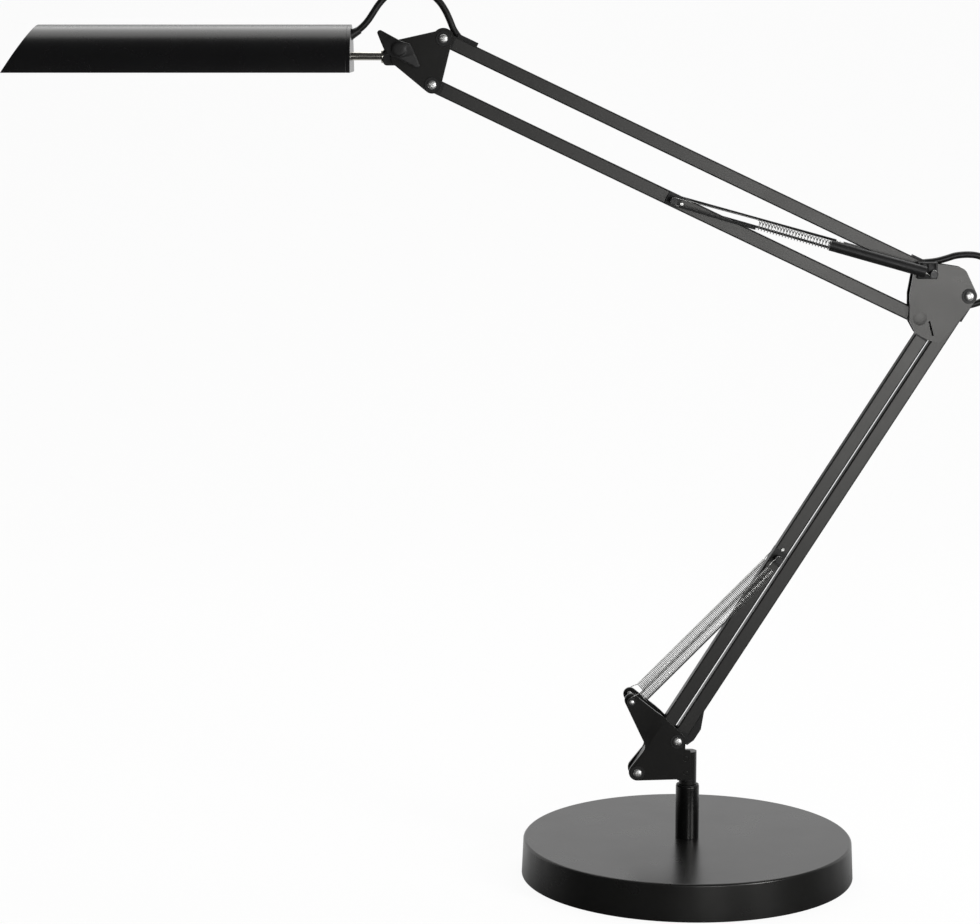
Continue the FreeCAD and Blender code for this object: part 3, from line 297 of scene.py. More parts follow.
def make_materials():
    """One material for each of the record's slots."""
    shade = painted("shade_paint", (0.004, 0.004, 0.0044), 0.27, 0.3, 1700.0, 0.012, 0.3)
    socket = painted("socket_black", (0.002, 0.002, 0.002), 0.26, 0.3, 900.0, 0.02)
    return {
        "black_satin_paint": body_painted("black_satin_paint", (0.006, 0.006, 0.0058), 0.28),
        "rod_paint": rod_painted("rod_paint", (0.008, 0.008, 0.0078), 0.36, 0.30),
        "shade_paint": shade.material,
        "socket_black": socket.material,
        "cast_weight": moulded("cast_weight", (0.16, 0.16, 0.16), 0.7, 400.0, 0.15),
        "foam_pad": moulded("foam_pad", (0.035, 0.035, 0.035), 0.85, 1100.0, 0.12, 0.2),
        "zinc_steel": metal("zinc_steel", (0.55, 0.55, 0.54), 0.42),
        "black_steel": metal("black_steel", (0.03, 0.03, 0.03), 0.4),
        "spring_steel": metal("spring_steel", (0.40, 0.40, 0.39), 0.32),
        "stem_steel": metal("stem_steel", (0.42, 0.41, 0.37), 0.24, (0.05, 1.0, 1.0)),
        "black_nylon": moulded("black_nylon", (0.006, 0.006, 0.006), 0.46, specular=0.2),
        "flex_rubber": moulded("flex_rubber", (0.005, 0.005, 0.005), 0.42, 700.0, 0.02, 0.2),
        "bare_aluminium": metal("bare_aluminium", (0.80, 0.80, 0.81), 0.35, (0.02, 1.0, 1.0)),
        "board_white": moulded("board_white", (0.82, 0.82, 0.79), 0.4, 500.0, 0.02),
        "led_yellow": moulded("led_yellow", (0.85, 0.66, 0.12), 0.3, 500.0, 0.02),
        "opal_diffuser": opal_sheet("opal_diffuser"),
    }


# ---- making pieces --------------------------------------------------------------


def new_object(name, mesh, slot, sharp=32.0):
    """An object with a slot's material and smooth shading between its sharp edges."""
    mesh.materials.clear()
    mesh.materials.append(LOOKS[slot])
    if not mesh.has_custom_normals:
        mesh.shade_smooth()
        mesh.set_sharp_from_angle(angle=math.radians(sharp))
    piece = bpy.data.objects.new(name, mesh)
    bpy.context.scene.collection.objects.link(piece)
    return piece


def mesh_of(name, verts, faces):
    """A new mesh from its points and faces."""
    mesh = bpy.data.meshes.new(name)
    mesh.from_pydata([tuple(v) for v in verts], [], faces)
    mesh.validate()
    mesh.update()
    return mesh


def joined(name, meshes):
    """Several meshes as one."""
    verts, faces = [], []
    for mesh in meshes:
        start = len(verts)
        verts += [v.co.copy() for v in mesh.vertices]
        faces += [[start + i for i in face.vertices] for face in mesh.polygons]
        bpy.data.meshes.remove(mesh)
    return mesh_of(name, verts, faces)


def modified(mesh, kind, **settings):
    """A mesh with one modifier applied."""
    holder = bpy.data.objects.new("holder", mesh)
    bpy.context.scene.collection.objects.link(holder)
    modifier = holder.modifiers.new("change", kind)
    for key, value in settings.items():
        setattr(modifier, key, value)
    ready = holder.evaluated_get(bpy.context.evaluated_depsgraph_get())
    result = bpy.data.meshes.new_from_object(ready)
    bpy.data.objects.remove(holder)
    bpy.data.meshes.remove(mesh)
    return result


def cut_away(mesh, cutter, operation="DIFFERENCE"):
    """A mesh less another one, or joined with it, or only what is inside it."""
    tool = bpy.data.objects.new("tool", cutter)
    bpy.context.scene.collection.objects.link(tool)
    result = modified(mesh, "BOOLEAN", operation=operation, object=tool, solver="EXACT")
    bpy.data.objects.remove(tool)
    bpy.data.meshes.remove(cutter)
    return result


def clean_copy(node):
    """A CAD node's mesh, welded and with its flat faces whole again."""
    mesh = frame["nodes"][node].data.copy()
    for extra in ("custom_normal", "sharp_edge", "sharp_face"):
        if extra in mesh.attributes:
            mesh.attributes.remove(mesh.attributes[extra])
    work = bmesh.new()
    work.from_mesh(mesh)
    bmesh.ops.remove_doubles(work, verts=work.verts, dist=0.002 * MM)
    bmesh.ops.dissolve_limit(
        work, angle_limit=math.radians(0.4), verts=work.verts, edges=work.edges
    )
    work.to_mesh(mesh)
    work.free()
    return mesh


def rounded(mesh, width):
    """A mesh with its edges rounded over and its flat faces shaded flat; the width is in mm."""
    mesh = modified(
        mesh,
        "BEVEL",
        width=width * MM,
        segments=2,
        limit_method="ANGLE",
        angle_limit=math.radians(28),
        use_clamp_overlap=True,
    )
    mesh.shade_smooth()
    mesh.set_sharp_from_angle(angle=math.radians(50))
    return modified(mesh, "WEIGHTED_NORMAL", mode="FACE_AREA", weight=80, keep_sharp=True)


def stands_for(node, mesh):
    """A piece that replaces a CAD node and rides on the node's body."""
    piece = new_object(node + "_skin", mesh, SLOT_OF[node])
    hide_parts(node)
    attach(piece, BODY_OF[node])


def softened(node, width):
    """The CAD node's own shape, with its edges rounded over."""
    stands_for(node, rounded(clean_copy(node), width))


def extra_piece(name, mesh, slot, neighbour):
    """A piece that has no CAD node and rides on the same body as one."""
    piece = new_object(name, mesh, slot)
    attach(piece, BODY_OF[neighbour])


def tube(path, radius, sides=12):
    """A round tube along points, closed at both ends."""
    ways = [(b - a).normalized() for a, b in zip(path, path[1:])]
    ways = [ways[0]] + [(a + b).normalized() for a, b in zip(ways, ways[1:])] + [ways[-1]]
    side = ways[0].orthogonal().normalized()
    verts = []
    for i, (point, way) in enumerate(zip(path, ways)):
        if i:
            side = ways[i - 1].rotation_difference(way) @ side
        side = (side - way * side.dot(way)).normalized()
        up = way.cross(side)
        for k in range(sides):
            turn = 2 * math.pi * k / sides
            out = side * (radius * math.cos(turn))
            verts.append(point + out + up * (radius * math.sin(turn)))
    faces = []
    for i in range(len(path) - 1):
        for k in range(sides):
            a, b = i * sides + k, i * sides + (k + 1) % sides
            faces.append((a, b, b + sides, a + sides))
    last = (len(path) - 1) * sides
    faces.append(tuple(reversed(range(sides))))
    faces.append(tuple(range(last, last + sides)))
    return mesh_of("tube", verts, faces)


def lathe(profile, origin, way, sides=48):
    """A solid turned about an axis, from (radius, distance along the axis) points."""
    way = way.normalized()
    side = way.orthogonal().normalized()
    up = way.cross(side)
    verts = []
    for radius, rise in profile:
        for k in range(sides):
            turn = 2 * math.pi * k / sides
            out = side * math.cos(turn) + up * math.sin(turn)
            verts.append(origin + way * rise + out * radius)
    faces = []
    for i in range(len(profile) - 1):
        for k in range(sides):
            a, b = i * sides + k, i * sides + (k + 1) % sides
            faces.append((a, b, b + sides, a + sides))
    last = (len(profile) - 1) * sides
    faces.append(tuple(reversed(range(sides))))
    faces.append(tuple(range(last, last + sides)))
    return mesh_of("lathe", verts, faces)


def box(size, place, turn=0.0):
    """A box of a size about a place, turned about Y."""
    x, y, z = (s / 2 for s in size)
    spin = Matrix.Rotation(turn, 3, "Y")
    verts = [place + spin @ Vector((a, b, c)) for a in (-x, x) for b in (-y, y) for c in (-z, z)]
    faces = [(0, 1, 3, 2), (4, 6, 7, 5), (0, 4, 5, 1), (2, 3, 7, 6), (0, 2, 6, 4), (1, 5, 7, 3)]
    return mesh_of("box", verts, faces)


# ---- flex -----------------------------------------------------------------------

# The routes of the free stretches, in metres.
ELBOW_UPPER_ROUTE = [
    (0.1306, 0.0, 0.3747),
    (0.1371, 0.0, 0.3756),
    (0.1441, 0.0, 0.3761),
    (0.1509, 0.0, 0.3779),
    (0.1569, 0.0, 0.3800),
    (0.1619, 0.0, 0.3802),
]
ELBOW_LOWER_ROUTE = [
    (0.1619, 0.0, 0.3802),
    (0.1669, 0.0, 0.3804),
    (0.1736, 0.0, 0.3784),
    (0.1786, 0.0, 0.3735),
    (0.1809, 0.0, 0.3669),
    (0.1799, 0.0, 0.3599),
    (0.1759, 0.0, 0.3542),
    (0.1698, 0.0, 0.3508),
    (0.1631, 0.0, 0.3496),
]
HEAD_SHADE_ROUTE = [
    (-0.2039, 0.0, 0.5089),
    (-0.1982, 0.0, 0.5122),
    (-0.1933, 0.0, 0.5169),
    (-0.1895, 0.0, 0.5226),
    (-0.1858, 0.0, 0.5283),
    (-0.1822, 0.0, 0.5318),
]
HEAD_MIDDLE_ROUTE = [
    (-0.1822, 0.0, 0.5318),
    (-0.1786, 0.0, 0.5353),
    (-0.1722, 0.0, 0.5380),
    (-0.1652, 0.0, 0.5383),
    (-0.1585, 0.0, 0.5360),
    (-0.1547, 0.0, 0.5328),
]
HEAD_ARM_ROUTE = [
    (-0.1547, 0.0, 0.5328),
    (-0.1509, 0.0, 0.5296),
    (-0.1471, 0.0, 0.5240),
    (-0.1443, 0.0, 0.5178),
    (-0.1419, 0.0, 0.5114),
    (-0.1375, 0.0, 0.5062),
]


def spline_points(name, route):
    """Points read from the NURBS line of a route."""
    curve = bpy.data.curves.new(name + "_line", "CURVE")
    curve.dimensions = "3D"
    curve.resolution_u = 10
    spline = curve.splines.new("NURBS")
    spline.points.add(len(route) - 1)
    for point, place in zip(spline.points, route):
        point.co = (*place, 1.0)
    spline.order_u = 3
    spline.use_endpoint_u = True
    line = bpy.data.objects.new(name + "_line", curve)
    bpy.context.scene.collection.objects.link(line)
    ready = line.evaluated_get(bpy.context.evaluated_depsgraph_get())
    mesh = bpy.data.meshes.new_from_object(ready)
    points = [v.co.copy() for v in mesh.vertices]
    bpy.data.objects.remove(line)
    bpy.data.curves.remove(curve)
    bpy.data.meshes.remove(mesh)
    return points


def add_flex(node, route):
    """A stretch of flex between two bodies."""
    points = spline_points(node, route)
    piece = new_object(node + "_sheath", tube(points, FLEX / 2, 20), SLOT_OF[node])
    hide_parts(node)
    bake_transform(piece)


def add_flexes():
    """The loops at the elbow and the head, each in stretches between two bodies."""
    for node, route, bodies in (
        ("flex_elbow_upper", ELBOW_UPPER_ROUTE, ("upper_rod_top", "elbow")),
        ("flex_elbow_lower", ELBOW_LOWER_ROUTE, ("elbow", "lower_rod_right")),
        ("flex_head_shade", HEAD_SHADE_ROUTE, ("shade", "head_swivel")),
        ("flex_head_middle", HEAD_MIDDLE_ROUTE, ("head_swivel", "head_bracket")),
        ("flex_head_arm", HEAD_ARM_ROUTE, ("head_bracket", "upper_rod_top")),
    ):
        add_flex(node, route)


# ---- springs --------------------------------------------------------------------

WIRE = 0.3 * MM
FINE_WIRE = 0.24 * MM
LOWER_COIL = 3.15 * MM
LOWER_PITCH = 1.0 * MM
UPPER_COIL = 2.85 * MM
CLOSED_PITCH = 0.72 * MM
OPEN_PITCH = 1.85 * MM
COIL_START = 10.0 * MM
# Radius of the black tubes of painted shade on the upper springs' hook legs.
LEG_SHADE_TUBE = 0.8 * MM
# Radii of the black lines of painted shade along the lower springs' lower and upper edges.
LOW_SHADE_LINE = 0.4 * MM
TOP_SHADE_LINE = 0.7 * MM
PIN_RADIUS = 1.6 * MM
ELBOW_PIN_RADIUS = 2.0 * MM
HOOK_GAP = 0.1 * MM


def arc(radius, start, end, steps):
    """Points of an arc about the origin, as (along, across) pairs; the angles are in degrees."""
    turns = [math.radians(start + (end - start) * i / steps) for i in range(steps + 1)]
    return [(radius * math.cos(turn), radius * math.sin(turn)) for turn in turns]


def helix(start, stops, radius, per_turn=14):
    """Coils as (along, across, deep) points; each stop is (turns, pitch)."""
    points, rise, turn = [], start, 0.0
    for turns, pitch in stops:
        for _ in range(int(turns * per_turn)):
            angle = 2 * math.pi * turn
            points.append((rise, radius * math.cos(angle), radius * math.sin(angle)))
            rise += pitch / per_turn
            turn += 1.0 / per_turn
    return points


def laid_out(points, foot, axis, across):
    """Spring points, put on a line from its foot."""
    return [foot + axis * a + across * b + DEEP * c for a, b, c in points]


def spring_line(foot, head):
    """A spring's direction, the upward direction across it, and its length."""
    axis = (head - foot).normalized()
    across = DEEP.cross(axis)
    if across.z < 0:
        across = -across
    return axis, across, (head - foot).length


def lower_spring(foot, head):
    """A fine coil that hangs beside its stud, with a small hook at each end.

    Gives the wire's points and the ends of two black lines of painted shade along the coil's lower and upper
    edges.
    """
    axis, across, length = spring_line(foot, head)
    hook = PIN_RADIUS + WIRE + HOOK_GAP
    drop = 3.0 * MM
    lead = 6.5 * MM
    turns = int((length - 2 * lead) / LOWER_PITCH)
    path = [(a, b, 0.0) for a, b in arc(hook, 470, 90, 30)]
    coil = helix(lead, [(turns, LOWER_PITCH)], LOWER_COIL)
    last = coil[-1][0]

    def sunk(a, b, c):
        """A point of the coil, lowered most at the foot."""
        return a, b - drop - (1.0 * MM - drop) * (a / length), c

    leaning = [sunk(*point) for point in coil]
    # Black lines along the coil's lower and upper edges: painted shade on the coil.
    shade_lines = []
    for offset in (0.45 * MM - LOWER_COIL, LOWER_COIL - 0.5 * MM):
        shade_lines.append([sunk(lead, offset, 0.0), sunk(last, offset, 0.0)])
    path += [(lead * 0.55, hook - 0.5 * MM, 0.0)]
    path += leaning
    path += [(last + 2.0 * MM, LOWER_COIL - 1.2 * MM, 0.0)]
    path += [(length - a, b, 0.0) for a, b in arc(hook, 90, 440, 28)]
    return [laid_out(points, foot, axis, across) for points in (path, *shade_lines)]


def upper_spring(foot, head, closed, opened):
    """A coil, closed near the elbow and open further on, with a long hairpin hook.

    Gives the wire's points, and the ends of the sleeve and of the hairpin's two legs.
    """
    axis, across, length = spring_line(foot, head)
    elbow_hook = ELBOW_PIN_RADIUS + WIRE + HOOK_GAP
    pin_hook = PIN_RADIUS + WIRE + HOOK_GAP
    path = [(a, b, 0.0) for a, b in arc(elbow_hook, -300, -30, 26)]
    path += [(6.0 * MM, 0.0, 0.0), (8.5 * MM, UPPER_COIL * 0.6, 0.0)]
    coil = helix(COIL_START, [(closed, CLOSED_PITCH), (opened, OPEN_PITCH)], UPPER_COIL)
    path += coil
    last = coil[-1][0]
    path += [(last + 2.0 * MM, UPPER_COIL, 0.0)]
    path += [(length - 3.0 * MM, pin_hook + 0.15 * MM, 0.0)]
    path += [(length - a, b, 0.0) for a, b in arc(pin_hook, 90, 270, 16)]
    path += [(length - 3.0 * MM, -pin_hook - 0.15 * MM, 0.0)]
    path += [(last + 3.0 * MM, -UPPER_COIL + 0.1 * MM, 0.0), (last + 0.3 * MM, -UPPER_COIL, 0.0)]
    sleeve = [(5.2 * MM, 0.0, 0.0), (COIL_START + closed * CLOSED_PITCH, 0.0, 0.0)]
    legs = []
    for side in (1, -1):
        leg_start = (last + 1.0 * MM, side * (UPPER_COIL - 0.25 * MM), 0.0)
        legs.append([leg_start, (length - 3.4 * MM, side * (pin_hook + 0.2 * MM), 0.0)])
    return [laid_out(points, foot, axis, across) for points in (path, sleeve, *legs)]


def finely(points, steps=24):
    """A straight stretch, divided so that it can bend."""
    start, end = points
    return [start.lerp(end, i / steps) for i in range(steps + 1)]


def bend_with(piece):
    """The piece's placement, baked into its points."""
    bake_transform(piece)


def add_springs():
    """Four springs; black lines of painted shade lie along the edges of the lower ones, sleeves cover part of the
    upper ones, and black tubes of painted shade lie on one or both hook legs of the upper ones.
    """
    for side, name in ((-1, "front"), (1, "rear")):
        depth = side * SPRING_SIDE
        ear, low_pin = at_depth(EAR, depth), at_depth(LOWER_PIN, depth)
        node = f"lower_spring_{name}"
        wire, low_shade_line, top_shade_line = lower_spring(ear, low_pin)
        coil = new_object(node + "_coil", tube(wire, FINE_WIRE, 6), SLOT_OF[node], 75.0)
        # Black tubes along the coil's edges are painted shade; the front spring has one on each edge.
        shade_lines = [tube(finely(low_shade_line), LOW_SHADE_LINE, 10)]
        if name == "front":
            shade_lines.append(tube(finely(top_shade_line), TOP_SHADE_LINE, 12))
        bar = new_object(node + "_bars", joined("shade_lines", shade_lines), "black_steel")
        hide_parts(node)
        for piece in (coil, bar):
            bend_with(piece)

        elbow, high_pin = at_depth(TOP_ELBOW, depth), at_depth(UPPER_PIN, depth)
        node = f"upper_spring_{name}"
        turns = (75, 24) if name == "front" else (60, 2)
        wire, sleeve, top_leg, low_leg = upper_spring(elbow, high_pin, *turns)
        sleeve_and_shade_tubes = [tube(finely(sleeve), UPPER_COIL + WIRE + 0.15 * MM, 24)]
        # A black tube on the lower hook leg, and on the rear spring's upper leg too: painted shade on the legs.
        sleeve_and_shade_tubes.append(tube(finely(low_leg), LEG_SHADE_TUBE, 12))
        if name == "rear":
            sleeve_and_shade_tubes.append(tube(finely(top_leg), LEG_SHADE_TUBE, 12))
        coil = new_object(node + "_coil", tube(wire, WIRE, 6), SLOT_OF[node], 75.0)
        # One object for the sleeve and for the black leg tubes of painted shade.
        sleeve_and_shade = new_object(node + "_sleeves", joined("sleeves", sleeve_and_shade_tubes), "black_nylon")
        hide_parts(node)
        for piece in (coil, sleeve_and_shade):
            bend_with(piece)


# ---- the rest of the pieces -----------------------------------------------------

ROUNDING = {
    "base_cover": 0.35,
    "base_pad": 0.4,
    "socket_tube": 0.3,
    "swivel_bush": 0.12,
    "bracket_core": 0.3,
    "lower_plate_front": 0.3,
    "lower_plate_rear": 0.3,
    "bracket_rivets": 0.2,
    "lower_rod_right_ends": 0.4,
    "lower_rod_left_ends": 0.4,
    "lower_flex_bushes": 0.3,
    "upper_rod_top_ends": 0.4,
    "upper_rod_bottom_ends": 0.4,
    "upper_flex_bushes": 0.5,
    "head_plate_front": 0.3,
    "head_plate_rear": 0.3,
    "tilt_bolt": 0.25,
    "lower_pivot_nuts": 0.3,
    "elbow_nut": 0.3,
    "head_pivot_nuts": 0.3,
    "swivel_knuckle": 0.5,
    "swivel_stem": 0.15,
    "shade_shell": 0.3,
    "shade_end_cap": 0.3,
    "shade_tip_cap": 0.2,
    "led_tray": 0.15,
    "led_board": 0.12,
    "led_chips": 0.12,
    "diffuser": 0.2,
}


def long_bar(point, way, corner):
    """A long square bar with round corners, through a point."""
    across = DEEP.cross(way)
    flat = ROD / 2 + 0.005 * MM - corner
    section = []
    for quarter, (a, b) in enumerate(((1, 1), (-1, 1), (-1, -1), (1, -1))):
        for step in range(6):
            turn = math.pi / 2 * (quarter + step / 5)
            out, up = corner * math.cos(turn), corner * math.sin(turn)
            section.append((a * flat + out, b * flat + up))
    verts = []
    for end in (-0.4, 0.4):
        verts += [point + way * end + across * a + DEEP * b for a, b in section]
    count = len(section)
    faces = [tuple(range(count - 1, -1, -1)), tuple(range(count, 2 * count))]
    faces += [(i, (i + 1) % count, (i + 1) % count + count, i + count) for i in range(count)]
    return mesh_of("bar", verts, faces)


def add_rods():
    """Drawn square tube: the corners are round."""
    lower = (RIGHT_ELBOW - RIGHT_FOOT).normalized()
    upper = (TOP_HEAD - TOP_ELBOW).normalized()
    for node, point, way in (
        ("lower_rod_right", RIGHT_FOOT, lower),
        ("lower_rod_left", LEFT_FOOT, lower),
        ("upper_rod_top", TOP_ELBOW, upper),
        ("upper_rod_bottom", BOTTOM_ELBOW, upper),
    ):
        bar = long_bar(at_depth(point, 0.0), way, 0.85 * MM)
        mesh = cut_away(clean_copy(node), bar, "INTERSECT")
        stands_for(node, rounded(mesh, 0.1))


def add_elbow_plates():
    """The plates close over their rivets; the front one has a narrow slit by the left rod."""
    left = LEFT_FOOT + RIGHT_ELBOW - RIGHT_FOOT
    low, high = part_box("elbow_plate_rear")
    thickness = high.y - low.y
    inner = PLATE_OUTSIDE - thickness
    plug_depth, plug_turn = 1.01 * MM, math.radians(-13.4)
    plugged = (
        (BOTTOM_ELBOW.x, BOTTOM_ELBOW.z, 7.0, 7.0),
        (left.x, left.z, 5.0, 5.0),
        (left.x + 3.2 * MM, left.z + 2.33 * MM, 2.4, 11.2),
    )
    for node, side in (("elbow_plate_front", -1), ("elbow_plate_rear", 1)):
        mesh = clean_copy(node)
        plugs = []
        for index, (x, z, width, height) in enumerate(plugged):
            level = side * (PLATE_OUTSIDE - 0.5 * MM + 0.005 * MM * index)
            size = (width * MM, plug_depth, height * MM)
            plugs.append(box(size, Vector((x, level, z)), plug_turn))
        if side < 0:
            size = (1.2 * MM, 3 * thickness, 9.0 * MM)
            depth = side * (PLATE_OUTSIDE - thickness / 2)
            slit = Vector((left.x + 1.9 * MM, depth, left.z + 0.4 * MM))
            mesh = cut_away(mesh, box(size, slit, math.radians(-15)))
            plugs = [cut_away(plug, box(size, slit, math.radians(-15))) for plug in plugs]
        stands_for(node, rounded(joined("plate", [mesh] + plugs), 0.25))
    domes = []
    for way in (FRONT, -FRONT):
        foot = at_depth(BOTTOM_ELBOW, 0.0) + way * (PLATE_OUTSIDE - 0.5 * MM)
        curve = [(4.2, 0.0), (4.2, 0.5), (3.3, 0.56), (2.1, 0.61), (0.4, 0.63)]
        domes.append(lathe(in_metres(curve), foot, way, 40))
    for pivot in (BOTTOM_ELBOW, left):
        foot = at_depth(pivot, inner + 0.2 * MM)
        shank = [(1.6 * MM, 0.0), (1.6 * MM, 2 * inner + 0.4 * MM)]
        domes.append(lathe(shank, foot, FRONT, 32))
    stands_for("elbow_rivets", joined("domes", domes))


def add_spring_pins():
    """Cross pins with small heads, and a small bright screw in the rod beside each."""
    for node, pin, way in (
        ("lower_spring_pin", LOWER_PIN, RIGHT_ELBOW - RIGHT_FOOT),
        ("upper_spring_pin", UPPER_PIN, TOP_ELBOW - TOP_HEAD),
    ):
        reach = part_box(node)[1].y / MM
        rear = [(0.3, -reach), (2.0, -reach), (2.2, 0.2 - reach), (2.2, 0.9 - reach)]
        shank = [(1.6, 0.9 - reach), (1.6, reach - 0.9)]
        front = [(2.2, reach - 0.9), (2.2, reach - 0.2), (2.0, reach), (0.3, reach)]
        stands_for(node, lathe(in_metres(rear + shank + front), at_depth(pin, 0.0), FRONT, 32))
        place = at_depth(pin, -ROD / 2 - 0.1 * MM) + way.normalized() * (5.4 * MM)
        cap = lathe(in_metres([(1.2, 0.0), (1.2, 0.4), (0.9, 0.6)]), place, FRONT, 28)
        extra_piece(node + "_screw", cap, "spring_steel", node)


def pan_head(pivot):
    """A pan-head screw with a cross recess, laid from front to back."""
    place = at_depth(pivot, -PLATE_OUTSIDE - WASHER)
    shank = [(1.6, -16.0), (2.0, -15.6), (2.0, 0.0), (2.75, 0.0)]
    dome = [(2.75, 0.3), (2.6, 0.7), (2.25, 1.0), (1.7, 1.25), (1.0, 1.4), (0.35, 1.45)]
    head = lathe(in_metres(shank + dome), place, FRONT, 40)
    recess = (3.0 * MM, 1.2 * MM, 0.55 * MM)
    for turn in (20.0, 110.0):
        head = cut_away(head, box(recess, place + FRONT * (1.35 * MM), math.radians(turn)))
    return head


def washer(pivot):
    """A black washer under a screw head."""
    profile = [(2.2, 0.02), (4.5, 0.02), (4.5, 0.3), (4.35, 0.45), (2.2, 0.45)]
    return lathe(in_metres(profile), at_depth(pivot, -PLATE_OUTSIDE), FRONT, 48)


def add_screws():
    """The pivot screws, each with a washer under its head."""
    sets = {
        "lower_pivot_screws": (RIGHT_FOOT, LEFT_FOOT),
        "elbow_screw": (RIGHT_ELBOW,),
        "head_pivot_screws": (TOP_HEAD, BOTTOM_HEAD),
    }
    for node, pivots in sets.items():
        stands_for(node, joined(node, [pan_head(pivot) for pivot in pivots]))
        rings = joined(node + "_rings", [washer(pivot) for pivot in pivots])
        extra_piece(node + "_washers", rings, "black_nylon", node)


def add_studs():
    """Two studs on the ears, each with a push-on ring that keeps the spring's hook on."""
    shaft = [(1.6, 0.0), (1.6, 7.4), (1.45, 7.8), (1.0, 8.05), (0.3, 8.15)]
    ring = [(1.62, 6.75), (2.7, 6.75), (2.8, 6.95), (2.6, 7.3), (1.62, 7.35)]
    shafts, rings = [], []
    for side in (-1, 1):
        foot = at_depth(EAR, side * 7.4 * MM)
        shafts.append(lathe(in_metres(shaft), foot, DEEP * side, 32))
        rings.append(lathe(in_metres(ring), foot, DEEP * side, 32))
    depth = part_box("lower_plate_rear")[1].y - 2.2 * MM
    inside = Vector((EAR.x - 0.6 * MM, depth, EAR.z + 0.9 * MM))
    dot = [(1.1, 0.0), (1.1, 0.4), (0.8, 0.6)]
    shafts.append(lathe(in_metres(dot), inside, FRONT, 24))
    stands_for("lower_spring_studs", joined("studs", shafts))
    extra_piece("stud_rings", joined("stud_rings", rings), "black_nylon", "lower_spring_studs")


def add_saddles():
    """Black cheeks on the rods' front and back that hold the springs' cross pins."""
    for node, pin, start in (
        ("lower_spring_pin", LOWER_PIN, LEFT_FOOT),
        ("upper_spring_pin", UPPER_PIN, BOTTOM_ELBOW),
    ):
        way = pin - start
        tilt = -math.atan2(way.z, way.x)
        outer = box((8.8 * MM, 9.7 * MM, 8.2 * MM), at_depth(pin, 0.0), tilt)
        inner = box((12.0 * MM, 8.32 * MM, 12.0 * MM), at_depth(pin, 0.0), tilt)
        clip = rounded(cut_away(outer, inner), 0.2)
        extra_piece(node + "_saddle", clip, "black_nylon", node)


def add_anchor_blocks():
    """The elbow's cross pin, and the moulded blocks on it that the upper springs hook on."""
    rear = [(2.4, -15.4), (2.4, -14.5), (2.0, -14.5)]
    front = [(2.0, 14.5), (2.4, 14.5), (2.4, 15.1), (2.2, 15.4), (0.4, 15.4)]
    pin = lathe(in_metres(rear + front), at_depth(TOP_ELBOW, 0.0), FRONT, 32)
    stands_for("elbow_spring_pin", pin)
    blocks = []
    for side in (-1, 1):
        centre = Vector((TOP_ELBOW.x - 3.2 * MM, side * 8.7 * MM, TOP_ELBOW.z + 2.0 * MM))
        body = box((11.6 * MM, 4.3 * MM, 9.8 * MM), centre)
        face = centre.y + side * 2.15 * MM
        for shift, width, height in ((-0.4, 1.3, 6.4), (-4.2, 1.6, 7.4), (3.2, 2.6, 6.4)):
            place = Vector((centre.x + shift * MM, face, centre.z + 0.9 * MM))
            body = cut_away(body, box((width * MM, 2.4 * MM, height * MM), place))
        blocks.append(rounded(body, 0.3))
    anchors = joined("anchors", blocks)
    extra_piece("elbow_anchor_blocks", anchors, "black_nylon", "elbow_spring_pin")


def add_wing_nut():
    """A cast wing nut: one mass with a blunt wing on each side of its hub."""
    hub = [(4.9, 0.0), (4.9, 2.6), (4.5, 4.3), (3.7, 5.1), (2.1, 5.2)]
    foot = at_depth(TILT, -PLATE_OUTSIDE - 0.1 * MM)
    whole = lathe(in_metres(hub), foot, FRONT, 48)
    outline = [(-10.4, 11.2), (-11.9, 10.9), (-12.6, 9.6), (-9.9, 3.0)]
    outline += [(-7.2, -3.0), (-2.0, -4.6), (4.6, 1.8), (0.6, 5.2)]
    for turn in (0.0, math.pi):
        verts = []
        for front in (0.9, 4.9):
            for x, z in outline:
                thin = 0.25 * max(0.0, (math.hypot(x, z) - 6.0) / 8.0)
                rise = front + (thin if front < 2 else -thin) * 5.0
                reach_x = x * math.cos(turn) - z * math.sin(turn)
                reach_z = x * math.sin(turn) + z * math.cos(turn)
                verts.append(foot + Vector((reach_x, 0.0, reach_z)) * MM + FRONT * (rise * MM))
        count = len(outline)
        faces = [tuple(range(count)), tuple(range(2 * count - 1, count - 1, -1))]
        faces += [(i, i + count, (i + 1) % count + count, (i + 1) % count) for i in range(count)]
        whole = cut_away(whole, mesh_of("wing", verts, faces), "UNION")
    whole = modified(whole, "REMESH", mode="VOXEL", voxel_size=0.35 * MM, use_smooth_shade=True)
    whole = modified(whole, "SMOOTH", factor=0.6, iterations=8)
    stands_for("wing_nut", whole)


def add_head_collar():
    """A round collar of the front head plate about its upper pivot."""
    low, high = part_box("head_plate_front")
    depth = (high.y - low.y) / MM - 0.1
    rim = in_metres([(6.3, 0.0), (6.3, depth - 0.2), (6.1, depth)])
    collar = lathe(rim, at_depth(TOP_HEAD, high.y - 0.05 * MM), FRONT, 56)
    extra_piece("head_collar", collar, "black_satin_paint", "head_plate_front")


def add_gland():
    """A slim tapered sleeve where the flex goes into the head."""
    start, second = Vector(HEAD_SHADE_ROUTE[0]), Vector(HEAD_SHADE_ROUTE[1])
    profile = [(3.0, -0.6), (3.0, 1.0), (2.85, 1.6), (2.3, 6.6), (2.15, 7.4), (2.05, 7.4)]
    stands_for("flex_gland", lathe(in_metres(profile), start, second - start, 32))


def finish_cad_nodes():
    """Every node's own object gets its slot's material too."""
    for node, thing in frame["nodes"].items():
        thing.data.materials.clear()
        thing.data.materials.append(LOOKS[SLOT_OF[node]])


# ---- stage and lights -----------------------------------------------------------


def maths(look, operation, first, second):
    """A value worked out from two others; each is a socket or a number."""
    node = look.tree.nodes.new("ShaderNodeMath")
    node.operation = operation
    for source, target in zip((first, second), node.inputs):
        if isinstance(source, (int, float)):
            target.default_value = source
        else:
            look.link(source, target)
    return node.outputs["Value"]


